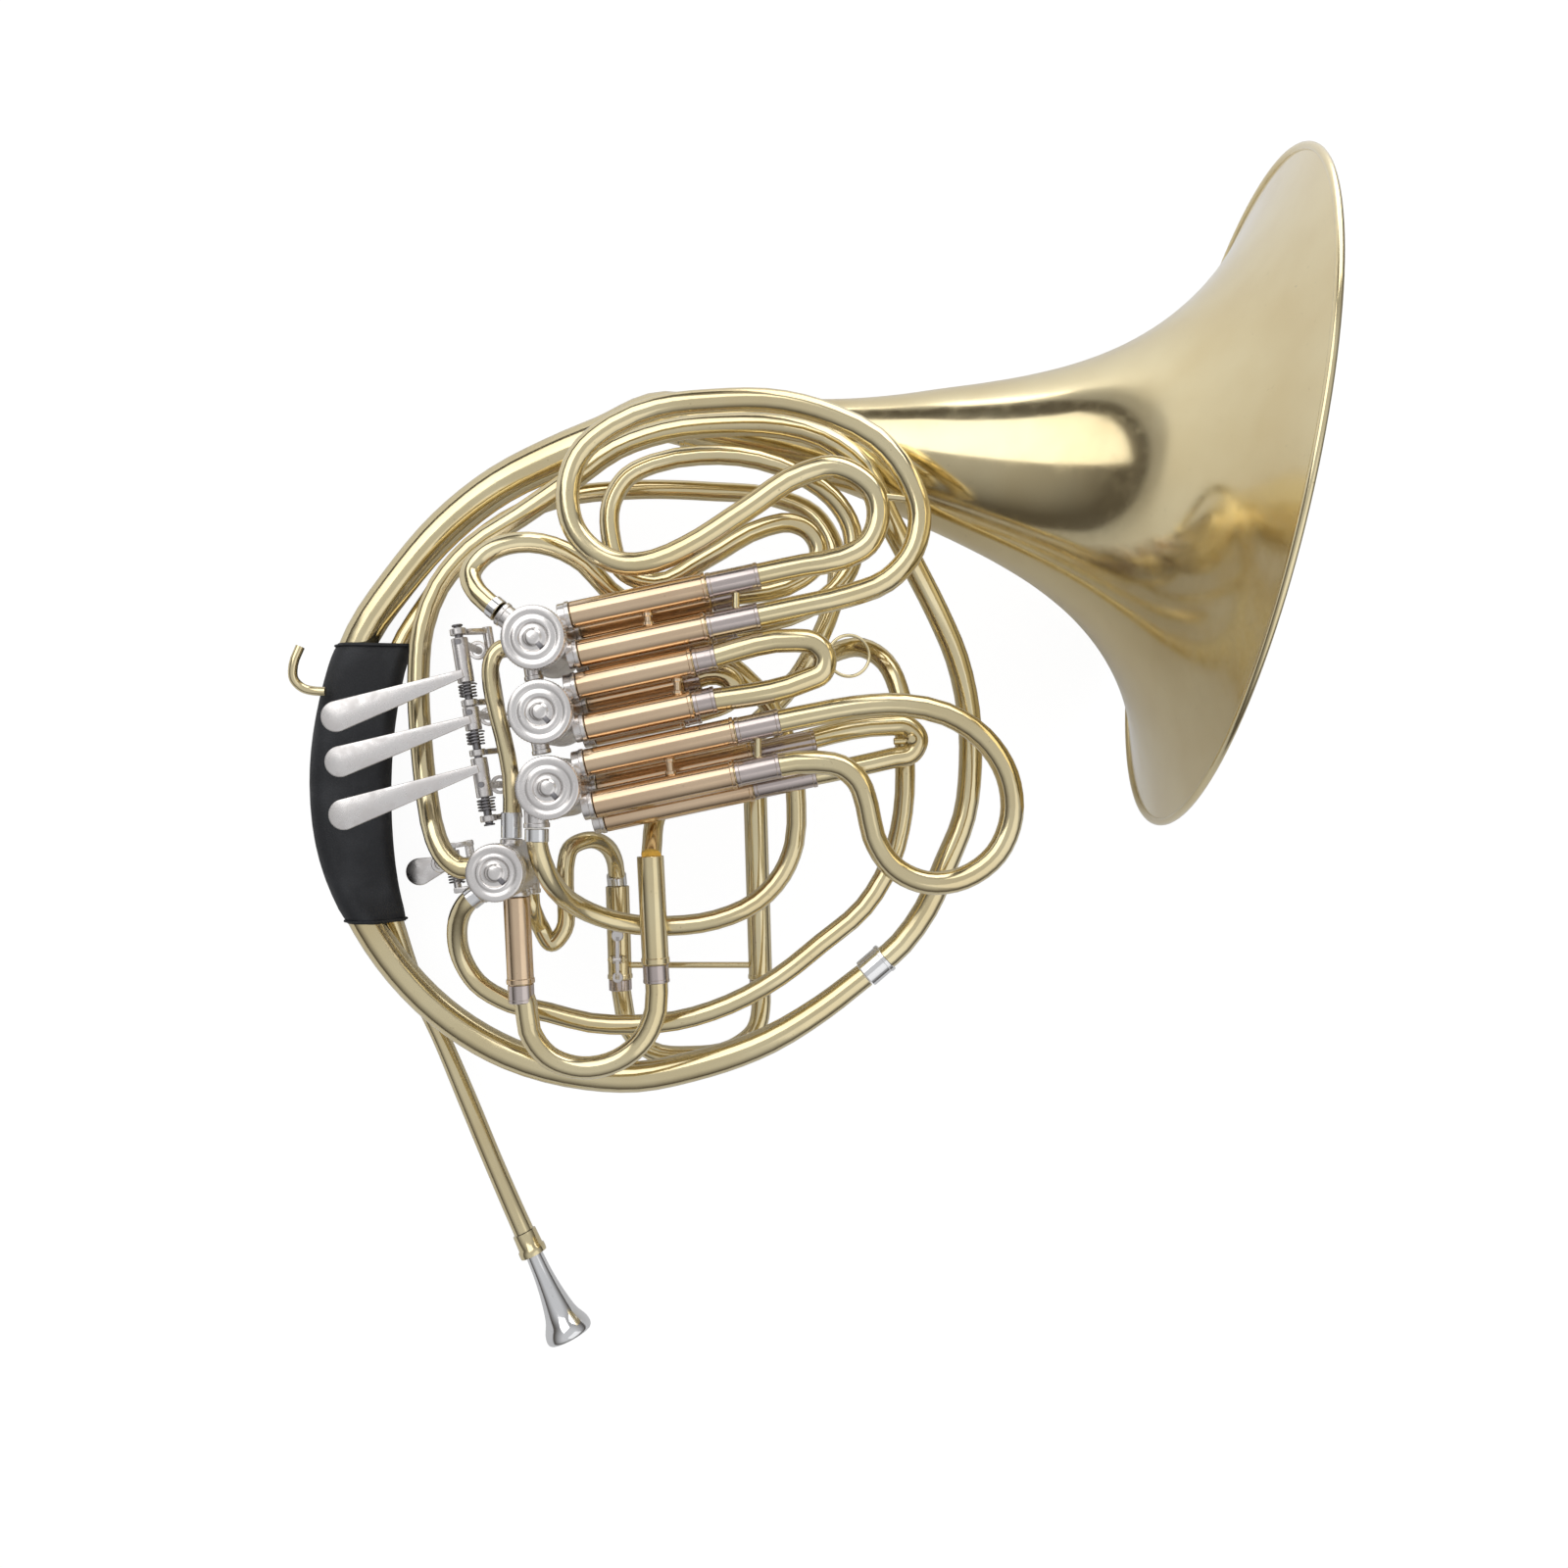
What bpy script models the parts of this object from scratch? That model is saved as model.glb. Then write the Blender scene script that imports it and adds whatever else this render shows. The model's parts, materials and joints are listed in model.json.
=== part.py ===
"""Double french horn with four rotary valves, lying with its valve side up.

The horn is drawn in its own body frame, in millimetres: X runs towards the bell, Y up the
front of the horn and Z out of the valve side. An empty then lays it down on the ground,
resting on the bell rim, the hand guard and the leadpipe. Objects are in metres.
"""
import math

import bmesh
import bpy
from mathutils import Matrix, Vector

MM = 0.001
GAP = 0.3                       # clearance between touching pieces

# Bell: the rim's centre, the direction that the bell opens in, and the outline of the flare
# as (distance back from the rim, radius)
BELL_CENTRE = Vector((208.5, 137.6, 0.0))
BELL_AXIS = Vector((0.985, -0.165, 0.052)).normalized()
BELL_OUTLINE = [(0, 159.0), (4, 144.0), (9, 129.0), (16, 112.8), (25, 97.3), (38, 81.3),
                (55, 66.8), (75, 55.0), (95, 46.5), (117, 39.2), (139, 33.0), (160, 27.0),
                (182, 22.0), (205, 18.4), (232, 15.2), (262, 12.9)]
BELL_WALL = 1.3
RIM_WIRE = 2.0                  # radius of the wire rolled into the rim
TAIL_TURN = 15.0                # most that the tail bends from one ring to the next, degrees
BELL_SIDES = 24

# Valves: centre of each axis, casing radius, and the levels of the two tiers of tubes
VALVES = {"3": (-111.8, 65.3), "2": (-108.8, 32.2), "1": (-105.3, -1.7),
          "change": (-128.8, -39.6)}
CASING_RADIUS = {"3": 14.0, "2": 14.0, "1": 14.0, "change": 12.6}
CASING_WALL = 1.6
CASING_BACK = -2.0
CASING_FRONT = 52.0
BACK_WALL = 2.4
CAP_HEIGHT = 5.7
CAP_OVERHANG = 0.6
SPINDLE_RADIUS = 3.0
HUB_RADIUS = 5.4
HUB_BACK = -12.8
HUB_FRONT = -6.6
STOP_ANGLE = 67.0               # of each stop pin, either side of the stop arm's middle
LINK_OFFSET = 7.0               # of a link bar's line from its rotor's axis
F_TIER = 40.0
B_TIER = 16.0

# Slides: all valve slides point the same way, a little above the X axis
SLIDE_ANGLE = math.radians(12.0)
SLIDE_DIR = Vector((math.cos(SLIDE_ANGLE), math.sin(SLIDE_ANGLE), 0.0))
LEG_RADIUS = 5.4
SLEEVE_BORE = 5.9
SLEEVE_RADIUS = 6.5
FERRULE_RADIUS = 6.5
SLEEVE_START = 17.0             # from the valve's centre, along the slide

# Levers: the hinge rod, and the arm that reaches from it to the link bars behind the valves
ROD_TOP = Vector((-151.1, 66.4, 28.0))
ROD_DIR = Vector((0.161, -0.987, 0.0)).normalized()
ROD_ACROSS = Vector((0.987, 0.161, 0.0)).normalized()
ROD_RADIUS = 1.9
BARREL_BORE = 2.2
BARREL_RADIUS = 3.9
LINK_LEVEL = -10.0
LEVER_PRESS = math.radians(13.0)
PADDLE_TIPS = {"3": (-207.3, 31.3), "2": (-205.5, 10.4), "1": (-203.7, -14.1)}
PADDLE_RADIUS = 7.2
PADDLE_LEVEL = 31.6
PADDLE_THICKNESS = 1.8
# along the rod: where the paddle joins it, and the barrel's ends
LEVER_STATIONS = {"3": (15.3, -1.5, 19.5), "2": (36.9, 31.0, 42.0), "1": (59.9, 55.0, 73.5)}
SPRING_STATIONS = {"3": 20.3, "2": 42.8, "1": 74.3}
POST_STATIONS = (-4.5, 29.0, 52.5, 83.5)
ROD_ENDS = (-7.0, 86.0)

# Torsion springs
SPRING_CURLS = 4
SPRING_PITCH = 1.45
SPRING_WIRE = 0.45              # radius
SPRING_RADIUS = 3.7
POINTS_PER_CURL = 8

# Main tuning slide: it opens downwards, and the leadpipe ends in its right sleeve
MAIN_DOWN = Vector((0.05, -1.0, 0.0)).normalized()
MAIN_LEFT = Vector((-126.8, -53.6, 17.0))
MAIN_RIGHT = Vector((-63.4, -34.2, 17.0))
MAIN_LEFT_LENGTH = 41.0
MAIN_RIGHT_LENGTH = 51.0

# Mouthpiece end
MOUTH_START = Vector((-134.0, -231.0, -40.0))
MOUTH_DIR = Vector((0.425, -0.903, 0.06)).normalized()

# How the horn lies: turned about its own Y axis, then about X
LAY_ROLL = math.radians(-17.24)
LAY_PITCH = math.radians(-4.07)

MATERIALS = {
    "brass": ((0.80, 0.62, 0.30), 0.22, 1.0),
    "rose_brass": ((0.74, 0.50, 0.29), 0.25, 1.0),
    "nickel_silver": ((0.74, 0.72, 0.69), 0.25, 1.0),
    "leather": ((0.015, 0.016, 0.018), 0.55, 0.0),
    "silver": ((0.86, 0.86, 0.87), 0.12, 1.0),
    "spring_steel": ((0.20, 0.19, 0.19), 0.35, 1.0),
}

for old in list(bpy.data.objects):
    bpy.data.objects.remove(old)
HORN = bpy.data.collections.new("double_french_horn")
bpy.context.scene.collection.children.link(HORN)


def material(name):
    """One Principled material for each finish, made once."""
    found = bpy.data.materials.get(name)
    if found:
        return found
    color, roughness, metallic = MATERIALS[name]
    made = bpy.data.materials.new(name)
    made.use_nodes = True
    shader = made.node_tree.nodes["Principled BSDF"]
    shader.inputs["Base Color"].default_value = (*color, 1.0)
    shader.inputs["Roughness"].default_value = roughness
    shader.inputs["Metallic"].default_value = metallic
    return made


def empty(name, matrix, parent=None):
    """An empty at a place in its parent's frame."""
    made = bpy.data.objects.new(name, None)
    made.empty_display_size = 0.01
    HORN.objects.link(made)
    made.parent = parent
    made.matrix_local = matrix
    return made


BODY = empty("horn_body", Matrix.Identity(4))


def frame_at(point, z_axis, x_hint=Vector((1.0, 0.0, 0.0))):
    """Matrix, in metres, with its Z along an axis and its X as near the hint as it can be."""
    z_axis = z_axis.normalized()
    x_axis = x_hint - z_axis * x_hint.dot(z_axis)
    if x_axis.length < 1e-4:
        x_axis = Vector((0.0, 1.0, 0.0)).cross(z_axis)
    x_axis.normalize()
    turn = Matrix((x_axis, z_axis.cross(x_axis), z_axis)).transposed().to_4x4()
    return Matrix.Translation(Vector(point) * MM) @ turn


def finish(obj, name, finish_name, joint=None):
    """Names the object, gives it its material and hangs it on the body or on its joint."""
    obj.name = name
    obj.data.name = name
    obj.data.materials.clear()
    obj.data.materials.append(material(finish_name))
    if obj.type == "MESH":
        obj.data.shade_smooth()
        obj.data.set_sharp_from_angle(angle=math.radians(35.0))
    parent = joint or BODY
    if joint:
        obj.data.transform(joint.matrix_local.inverted())
    obj.parent = parent
    return obj


def new_mesh(name, bm):
    """Object from a bmesh that is drawn in body millimetres."""
    bmesh.ops.recalc_face_normals(bm, faces=bm.faces)
    mesh = bpy.data.meshes.new(name)
    bm.to_mesh(mesh)
    bm.free()
    made = bpy.data.objects.new(name, mesh)
    HORN.objects.link(made)
    return made


def evaluated_mesh(obj):
    """The mesh that an object shows once its modifiers are counted in."""
    depsgraph = bpy.context.evaluated_depsgraph_get()
    depsgraph.update()
    return bpy.data.meshes.new_from_object(obj.evaluated_get(depsgraph))


def welded(obj):
    """Turns a curve or a modified object into a plain closed mesh."""
    mesh = evaluated_mesh(obj)
    bm = bmesh.new()
    bm.from_mesh(mesh)
    bmesh.ops.remove_doubles(bm, verts=bm.verts, dist=0.00002)
    made = new_mesh(obj.name, bm)
    bpy.data.objects.remove(obj)
    return made


def combine(base, others, operation):
    """Joins others to base, or cuts them out of it."""
    for other in others:
        step = base.modifiers.new(other.name, "BOOLEAN")
        step.operation = operation
        step.solver = "EXACT"
        step.object = other
    mesh = evaluated_mesh(base)
    base.modifiers.clear()
    base.data = mesh
    for other in others:
        bpy.data.objects.remove(other)
    return base


def join(base, *others):
    return combine(base, others, "UNION")


def cut(base, *others):
    return combine(base, others, "DIFFERENCE")


def cylinder(start, end, radius, sides=16, end_radius=None):
    """A round bar or cone between two points."""
    start = Vector(start)
    end = Vector(end)
    bm = bmesh.new()
    place = frame_at((start + end) / 2, end - start)
    bmesh.ops.create_cone(bm, cap_ends=True, segments=sides, radius1=radius * MM,
                          radius2=(radius if end_radius is None else end_radius) * MM,
                          depth=(end - start).length * MM, matrix=place)
    return new_mesh("bar", bm)


def box(centre, size, x_axis=Vector((1.0, 0.0, 0.0)), z_axis=Vector((0.0, 0.0, 1.0))):
    """A block with its own X and Z directions."""
    bm = bmesh.new()
    scale = Matrix.Diagonal((*(value * MM for value in size), 1.0))
    bmesh.ops.create_cube(bm, size=1.0, matrix=frame_at(centre, z_axis, x_axis) @ scale)
    return new_mesh("block", bm)


def turned(profile, place, steps=20, closed=False):
    """Turns an outline of (radius, height) round the Z axis of place."""
    bm = bmesh.new()
    verts = [bm.verts.new((radius * MM, 0.0, height * MM)) for radius, height in profile]
    pairs = list(zip(verts, verts[1:]))
    if closed:
        pairs.append((verts[-1], verts[0]))
    for first, second in pairs:
        bm.edges.new((first, second))
    mesh = bpy.data.meshes.new("profile")
    bm.to_mesh(mesh)
    bm.free()
    made = bpy.data.objects.new("turned", mesh)
    HORN.objects.link(made)
    screw = made.modifiers.new("Turn", "SCREW")
    screw.steps = steps
    screw.render_steps = steps
    screw.use_merge_vertices = True
    screw.merge_threshold = 0.00001
    made = welded(made)
    made.data.transform(place)
    return made


def smooth_route(points, step=10.0, max_turn=24.0):
    """Points along a smooth curve through (x, y, z) or (x, y, z, radius) points.

    Long gentle stretches get a point every step or so and bends get more, so that the
    route turns by no more than about max_turn degrees at each.
    """
    knots = [Vector(point) for point in points]
    spans = [(Vector(b[:3]) - Vector(a[:3])).length for a, b in zip(knots, knots[1:])]
    slopes = []
    for i, knot in enumerate(knots):
        if i == 0:
            slopes.append((knots[1] - knot) / spans[0])
        elif i == len(knots) - 1:
            slopes.append((knot - knots[-2]) / spans[-1])
        else:
            before = (knot - knots[i - 1]) / spans[i - 1]
            after = (knots[i + 1] - knot) / spans[i]
            slopes.append((before * spans[i] + after * spans[i - 1]) / (spans[i - 1] + spans[i]))
    route = [knots[0]]
    for i, span in enumerate(spans):
        turn = math.degrees(Vector(slopes[i][:3]).angle(Vector(slopes[i + 1][:3])))
        count = max(1, round(turn / max_turn), round(span / (3.0 * step)))
        for k in range(1, count + 1):
            t = k / count
            route.append(knots[i] * (2 * t ** 3 - 3 * t ** 2 + 1)
                         + slopes[i] * (span * (t ** 3 - 2 * t ** 2 + t))
                         + knots[i + 1] * (3 * t ** 2 - 2 * t ** 3)
                         + slopes[i + 1] * (span * (t ** 3 - t ** 2)))
    return route


def tube(name, points, radius=None, resolution=2, smooth=True, max_turn=24.0):
    """A round tube along a route; a fourth number at each point is its radius there."""
    route = smooth_route(points, max_turn=max_turn) if smooth else [Vector(p) for p in points]
    curve = bpy.data.curves.new(name, "CURVE")
    curve.dimensions = "3D"
    curve.bevel_depth = MM
    curve.bevel_resolution = resolution
    curve.use_fill_caps = True
    spline = curve.splines.new("POLY")
    spline.points.add(len(route) - 1)
    for knot, point in zip(spline.points, route):
        knot.co = (point[0] * MM, point[1] * MM, point[2] * MM, 1.0)
        knot.radius = point[3] if radius is None else radius
    made = bpy.data.objects.new(name, curve)
    HORN.objects.link(made)
    return made


def extruded(outline, level, thickness):
    """A flat plate, parallel to the valve plane, from a closed outline of (x, y)."""
    curve = bpy.data.curves.new("outline", "CURVE")
    curve.dimensions = "2D"
    curve.fill_mode = "BOTH"
    curve.extrude = thickness / 2 * MM
    spline = curve.splines.new("POLY")
    spline.points.add(len(outline) - 1)
    for knot, (x, y) in zip(spline.points, outline):
        knot.co = (x * MM, y * MM, 0.0, 1.0)
    spline.use_cyclic_u = True
    made = bpy.data.objects.new("plate", curve)
    HORN.objects.link(made)
    made = welded(made)
    made.data.transform(Matrix.Translation((0.0, 0.0, level * MM)))
    return made


def leg_point(x, y_at_datum, level, datum=-55.0):
    """Point of a slide's leg at a given x, from the leg's y at the datum."""
    return Vector((x, y_at_datum + (x - datum) * math.tan(SLIDE_ANGLE), level))


def make_bell():
    """Flare with its rolled rim, a shell that is open at both ends."""
    outer = [(radius, -back) for back, radius in BELL_OUTLINE[1:]]
    inner = [(radius - BELL_WALL, height) for radius, height in reversed(outer)]
    rim = BELL_OUTLINE[0][1]
    bead = [(rim - RIM_WIRE, 0.4), (rim - 0.6, RIM_WIRE), (rim + RIM_WIRE, RIM_WIRE),
            (rim + RIM_WIRE, -0.6), (rim + 0.6, -RIM_WIRE)]
    profile = bead + outer + inner
    bell = turned(profile, frame_at(BELL_CENTRE, BELL_AXIS), BELL_SIDES, closed=True)
    return finish(bell, "bell", "brass")


def tail_route(clearance=0.0):
    """Route of the bell's own tube round the outside of the body, with its radii."""
    start = BELL_CENTRE - BELL_AXIS * (BELL_OUTLINE[-1][0] + GAP)
    second = start - BELL_AXIS * 9.0
    route = [(*start, 12.9), (*second, 12.4), (-90, 172.5, -18, 11.1), (-115, 163, -19, 10.4),
             (-142, 150, -20, 9.7), (-169, 129, -20, 9.3), (-194, 100, -20, 8.9),
             (-211, 75, -20, 8.6), (-222, 42, -20, 8.4), (-227, 0, -20, 8.3),
             (-222, -39, -20, 8.2), (-208, -71, -20, 8.2), (-192, -94, -20, 8.1),
             (-172, -114, -20, 8.0), (-137, -135, -19, 8.0), (-98, -145, -18, 7.9),
             (-73, -146, -17, 7.7), (-47, -141, -16, 7.5), (-7, -127, -15, 7.0),
             (19, -111, -14, 6.5), (40.0, -94.7, -13, 6.1)]
    return [(x, y, z, radius + clearance) for x, y, z, radius in route]


def make_bell_tail():
    """The bell's own tube, which goes round the outside of the body and narrows."""
    return finish(tube("bell_tail", tail_route(), max_turn=TAIL_TURN), "bell_tail", "brass")


def make_first_branch():
    """From the bell tail's ferrule up the right side, over the top and down to the valves."""
    route = [(40.5, -94.2, -13), (58, -79, -12), (70, -62, -11), (80, -39, -10), (89, -16, -10),
             (92, 9, -10), (91, 36, -10), (85, 62, -8), (75, 84, -4), (62, 107, 3),
             (49, 129, 11), (37, 150, 17), (19, 164, 17), (0, 170, 14), (-28, 172, 10),
             (-57, 170, 6), (-81, 163, 2), (-105, 147, -1), (-129, 131, -3), (-153, 115, -3),
             (-168, 96, 0), (-175, 76, 2), (-177, 52, 3), (-175, 19, 5), (-171, -9, 8),
             (-166, -26, 13), (-160, -35.5, 15.5), (-153, -39.9, 16), (-148, -39.9, 16)]
    radii = [6.1] * 4 + [5.8] * 8 + [5.6] * 8 + [5.3] * 9
    pipe = tube("branch", [(*point, radius) for point, radius in zip(route, radii)])
    ferrule_a = Vector(route[0])
    ferrule_b = ferrule_a + (Vector(route[1]) - ferrule_a).normalized() * 12.0
    pipe = join(welded(pipe), cylinder(ferrule_a, ferrule_b, 7.2, 14))
    return finish(pipe, "first_branch", "brass")


def leadpipe_route(clearance=0.0):
    """From the receiver, behind the bell tail, through the guard and over to the main slide."""
    end = MOUTH_START - MOUTH_DIR * 0.4
    back = MOUTH_START - MOUTH_DIR * 14.0
    route = [(*end, 5.2), (*back, 5.1), (-151, -196, -45, 5.0), (-166, -163, -49, 5.0),
             (-180, -131, -50, 4.9), (-192, -104, -47, 4.8), (-197, -80, -36, 4.8),
             (-201, -50, -23, 4.8), (-203, -20, -19, 4.8), (-203, 10, -19, 4.8),
             (-200, 39, -19, 4.8), (-194, 65, -20, 4.8), (-180, 92, -26, 4.8),
             (-164, 115, -29, 4.8), (-142, 134, -31, 4.8), (-115, 145, -30, 4.8),
             (-79, 149, -28, 4.8), (-36, 148, -27, 4.8), (-5, 145, -27, 4.8),
             (15, 136, -25, 4.8), (25, 120, -22, 4.8), (26, 98, -17, 4.8), (17, 71, -13, 4.8),
             (0, 44, -12, 4.8), (-27, 19, -11, 4.8), (-48, 2, -8, 4.8), (-60, -10, -3, 4.8),
             (-63, -20, 4, 4.8), (-63, -28, 11, 4.8), (-63, -33.7, 16, 4.8)]
    return [(x, y, z, radius + clearance) for x, y, z, radius in route]


def make_leadpipe():
    """Leadpipe with the sleeve of the main slide's right leg soldered to its end."""
    pipe = welded(tube("leadpipe", leadpipe_route()))
    sleeve_end = MAIN_RIGHT + MAIN_DOWN * MAIN_RIGHT_LENGTH
    pipe = join(pipe, cylinder(MAIN_RIGHT, sleeve_end, 6.4, 12))
    bore = cylinder(MAIN_RIGHT + MAIN_DOWN * 5.0, sleeve_end + MAIN_DOWN, SLEEVE_BORE, 12)
    return finish(cut(pipe, bore), "leadpipe", "brass")


def make_receiver():
    """Hollow socket that takes the mouthpiece shank."""
    profile = [(6.1, 0.0), (6.3, 8.0), (7.0, 8.6), (7.0, 12.4), (4.8, 12.4), (4.4, 0.0)]
    place = frame_at(MOUTH_START, MOUTH_DIR)
    return finish(turned(profile, place, 14, closed=True), "mouthpiece_receiver", "brass")


def make_mouthpiece():
    """Shank, cup and rim, bored through."""
    profile = [(11.0, 57.6), (11.9, 56.4), (11.8, 53.6), (8.6, 46.0), (6.4, 36.0), (4.9, 24.0),
               (4.3, 12.8), (3.7, 2.0), (2.2, 2.0), (1.9, 36.0), (3.2, 41.0), (6.4, 48.0),
               (8.8, 57.0), (9.6, 57.6)]
    joint = empty("mouthpiece_axis", frame_at(MOUTH_START, MOUTH_DIR), BODY)
    place = frame_at(MOUTH_START, MOUTH_DIR)
    return finish(turned(profile, place, 14, closed=True), "mouthpiece", "silver", joint)


def make_guard():
    """Leather guard round the bell tail and the leadpipe, with a channel for each."""
    path = [(-203.8, 70.5, -20, 19.2), (-212.6, 40, -20, 20.6), (-217.2, 0, -20, 21.0),
            (-213.6, -38, -20, 20.2), (-204.4, -70, -20, 18.4)]
    guard = welded(tube("guard", path, resolution=5, max_turn=14.0))
    flatten = Matrix.Translation((0, 0, -0.020)) @ Matrix.Diagonal((1, 1, 0.64, 1))
    guard.data.transform(flatten @ Matrix.Translation((0, 0, 0.020)))
    tail = welded(tube("tail_channel", tail_route(0.4), max_turn=TAIL_TURN))
    lead = welded(tube("lead_channel", leadpipe_route(0.4)))
    guard = cut(guard, tail, lead)
    return finish(guard, "hand_guard", "leather")


def make_pinky_hook():
    """Bent strap for the little finger, soldered to the guarded tube."""
    route = [(-236, 67, -2), (-239, 58, -1), (-239, 51, -2), (-235.5, 47, -4), (-230, 45.6, -5.5),
             (-225, 45.4, -5.8)]
    return finish(tube("pinky_hook", route, 2.4, max_turn=20), "pinky_hook", "brass")


def make_f_branch():
    """Long F tube: change valve, along the bottom, up the right side, to the rear slide."""
    route = [(-145.25, -51.95, 16), (-149.2, -55, 16), (-154.6, -62, 12), (-157.6, -72, 6), (-157, -84, 0), (-150, -97, -3),
             (-134, -107, -4), (-115, -112, -5), (-95, -117, -5), (-74, -118, -5),
             (-53, -116, -5), (-27, -108, -5), (-2, -94, -4), (18, -78, -3), (39, -60, -2),
             (52, -38, -2), (58, -14, -2), (59, 14, -2), (57, 43, -4), (50, 60, -9),
             (39, 68, -17), (24, 66, -28), (7, 55, -38), (-8, 38, -44), (-14.5, 22, -45),
             (-15.6, 8.3, -45)]
    return finish(tube("f_branch", route, 4.9), "f_branch", "brass")


def make_feed_tube():
    """Change valve, down round the small bend and up, then over to the rear slide."""
    route = [(-122.58, -53.3, 3.4), (-122.3, -57.8, 3.4), (-121.4, -64, -1.5), (-120, -70, -8), (-114.5, -78.5, -9),
             (-108.5, -72, -9), (-107.5, -58, -9), (-108, -42, -10), (-106, -32, -13),
             (-98, -28, -20), (-90, -32, -31), (-87, -41, -40), (-86.6, -52.3, -45)]
    return finish(tube("f_feed_tube", route, 4.3), "f_feed_tube", "brass")


def make_link_tube():
    """Valve 1 down and round to the right, up behind the slides and over into valve 3."""
    route = [(-113, -20.5, 40), (-113, -26, 40), (-111, -36, 37.5), (-106, -49, 28), (-97, -59, 14),
             (-79, -67, 3), (-56, -69, 0), (-33, -66, 0), (-13, -57, 0), (-1, -44, 0),
             (5, -29, 0), (6, -10, 1), (3, 14, 3), (-7, 38, 3), (-29, 60, 3), (-52, 74, 3),
             (-71, 84, 5), (-84, 93, 9), (-95, 105, 14), (-109, 112, 20), (-125, 113, 25),
             (-139, 107, 29), (-145, 97, 33), (-140, 87, 38), (-130.2, 78.9, 40)]
    return finish(tube("valve_link_tube", route, 4.9), "valve_link_tube", "brass")


def make_riser_tube():
    """Straight-ish tube beside the valve column, from the change valve up to valve 3."""
    route = [(-126.6, -25.1, 30), (-126.6, -18, 30), (-127, 4, 30), (-130.5, 22, 30),
             (-135, 40, 30), (-136.4, 50, 30), (-135.8, 57, 30), (-133.4, 61.3, 30),
             (-130.9, 63.1, 30), (-128.45, 63.5, 30)]
    pipe = tube("riser", route, 4.0)
    ferrule = cylinder((-126.6, -20, 30), (-126.8, -12, 30), 4.9, 10)
    return finish(join(welded(pipe), ferrule), "riser_tube", "brass")


def sleeve_pair(name, lines, finish_name, braces=(), extra=()):
    """Hollow outer sleeves of a slide, held together by braces."""
    bodies = [cylinder(a, b, SLEEVE_RADIUS, 12) for a, b in lines]
    base = bodies[0]
    parts = bodies[1:]
    for share in braces:
        ends = [a.lerp(b, share) for a, b in lines]
        inward = (ends[1] - ends[0]).normalized() * (SLEEVE_RADIUS - 0.4)
        parts.append(cylinder(ends[0] + inward, ends[1] - inward, 1.7, 8))
    base = join(base, *parts, *extra)
    bores = []
    for a, b in lines:
        along = (b - a).normalized()
        bores.append(cylinder(a - along, b + along, SLEEVE_BORE, 12))
    return finish(cut(base, *bores), name, finish_name)


def slide_joint(name, point, direction):
    """An empty on a slide's axis, with its Z along the pull."""
    return empty(name, frame_at(point, direction), BODY)


def port_point(valve, y_at_datum, level, reach):
    """Point on a slide leg's axis, at a distance from the valve along the slide."""
    centre = VALVES[valve]
    side = Vector((-SLIDE_DIR.y, SLIDE_DIR.x, 0.0))
    return Vector((*centre, level)) + side * leg_offset(valve, y_at_datum) + SLIDE_DIR * reach


def valve_slide(tag, valve, legs, level, sleeve_end, crook, braces=(), ferrule=20.0,
                tube_radius=LEG_RADIUS, extra=()):
    """Sleeve pair and pull-out slide of one valve on one tier."""
    lines = [(port_point(valve, y, level, SLEEVE_START), leg_point(sleeve_end, y, level))
             for y in legs]
    sleeve_pair(tag + "_sleeves", lines, "rose_brass", braces)
    inner = SLEEVE_START + 5.0
    upper = [port_point(valve, legs[0], level, inner), leg_point(sleeve_end + 2.0, legs[0], level)]
    lower = [leg_point(sleeve_end + 2.0, legs[1], level), port_point(valve, legs[1], level, inner)]
    knots = smooth_route([upper[1], *[(*point, level) for point in crook], lower[0]])
    bow = tube(tag, [upper[0], *knots, lower[1]], tube_radius, smooth=False)
    rings = []
    for y in legs:
        first = leg_point(sleeve_end + GAP, y, level)
        rings.append(cylinder(first, leg_point(sleeve_end + ferrule, y, level),
                              FERRULE_RADIUS - 0.25, 12))
    joint = slide_joint(tag + "_axis", lines[0][0], SLIDE_DIR)
    return finish(join(welded(bow), *rings, *extra), tag + "_slide", "brass", joint)


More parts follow.
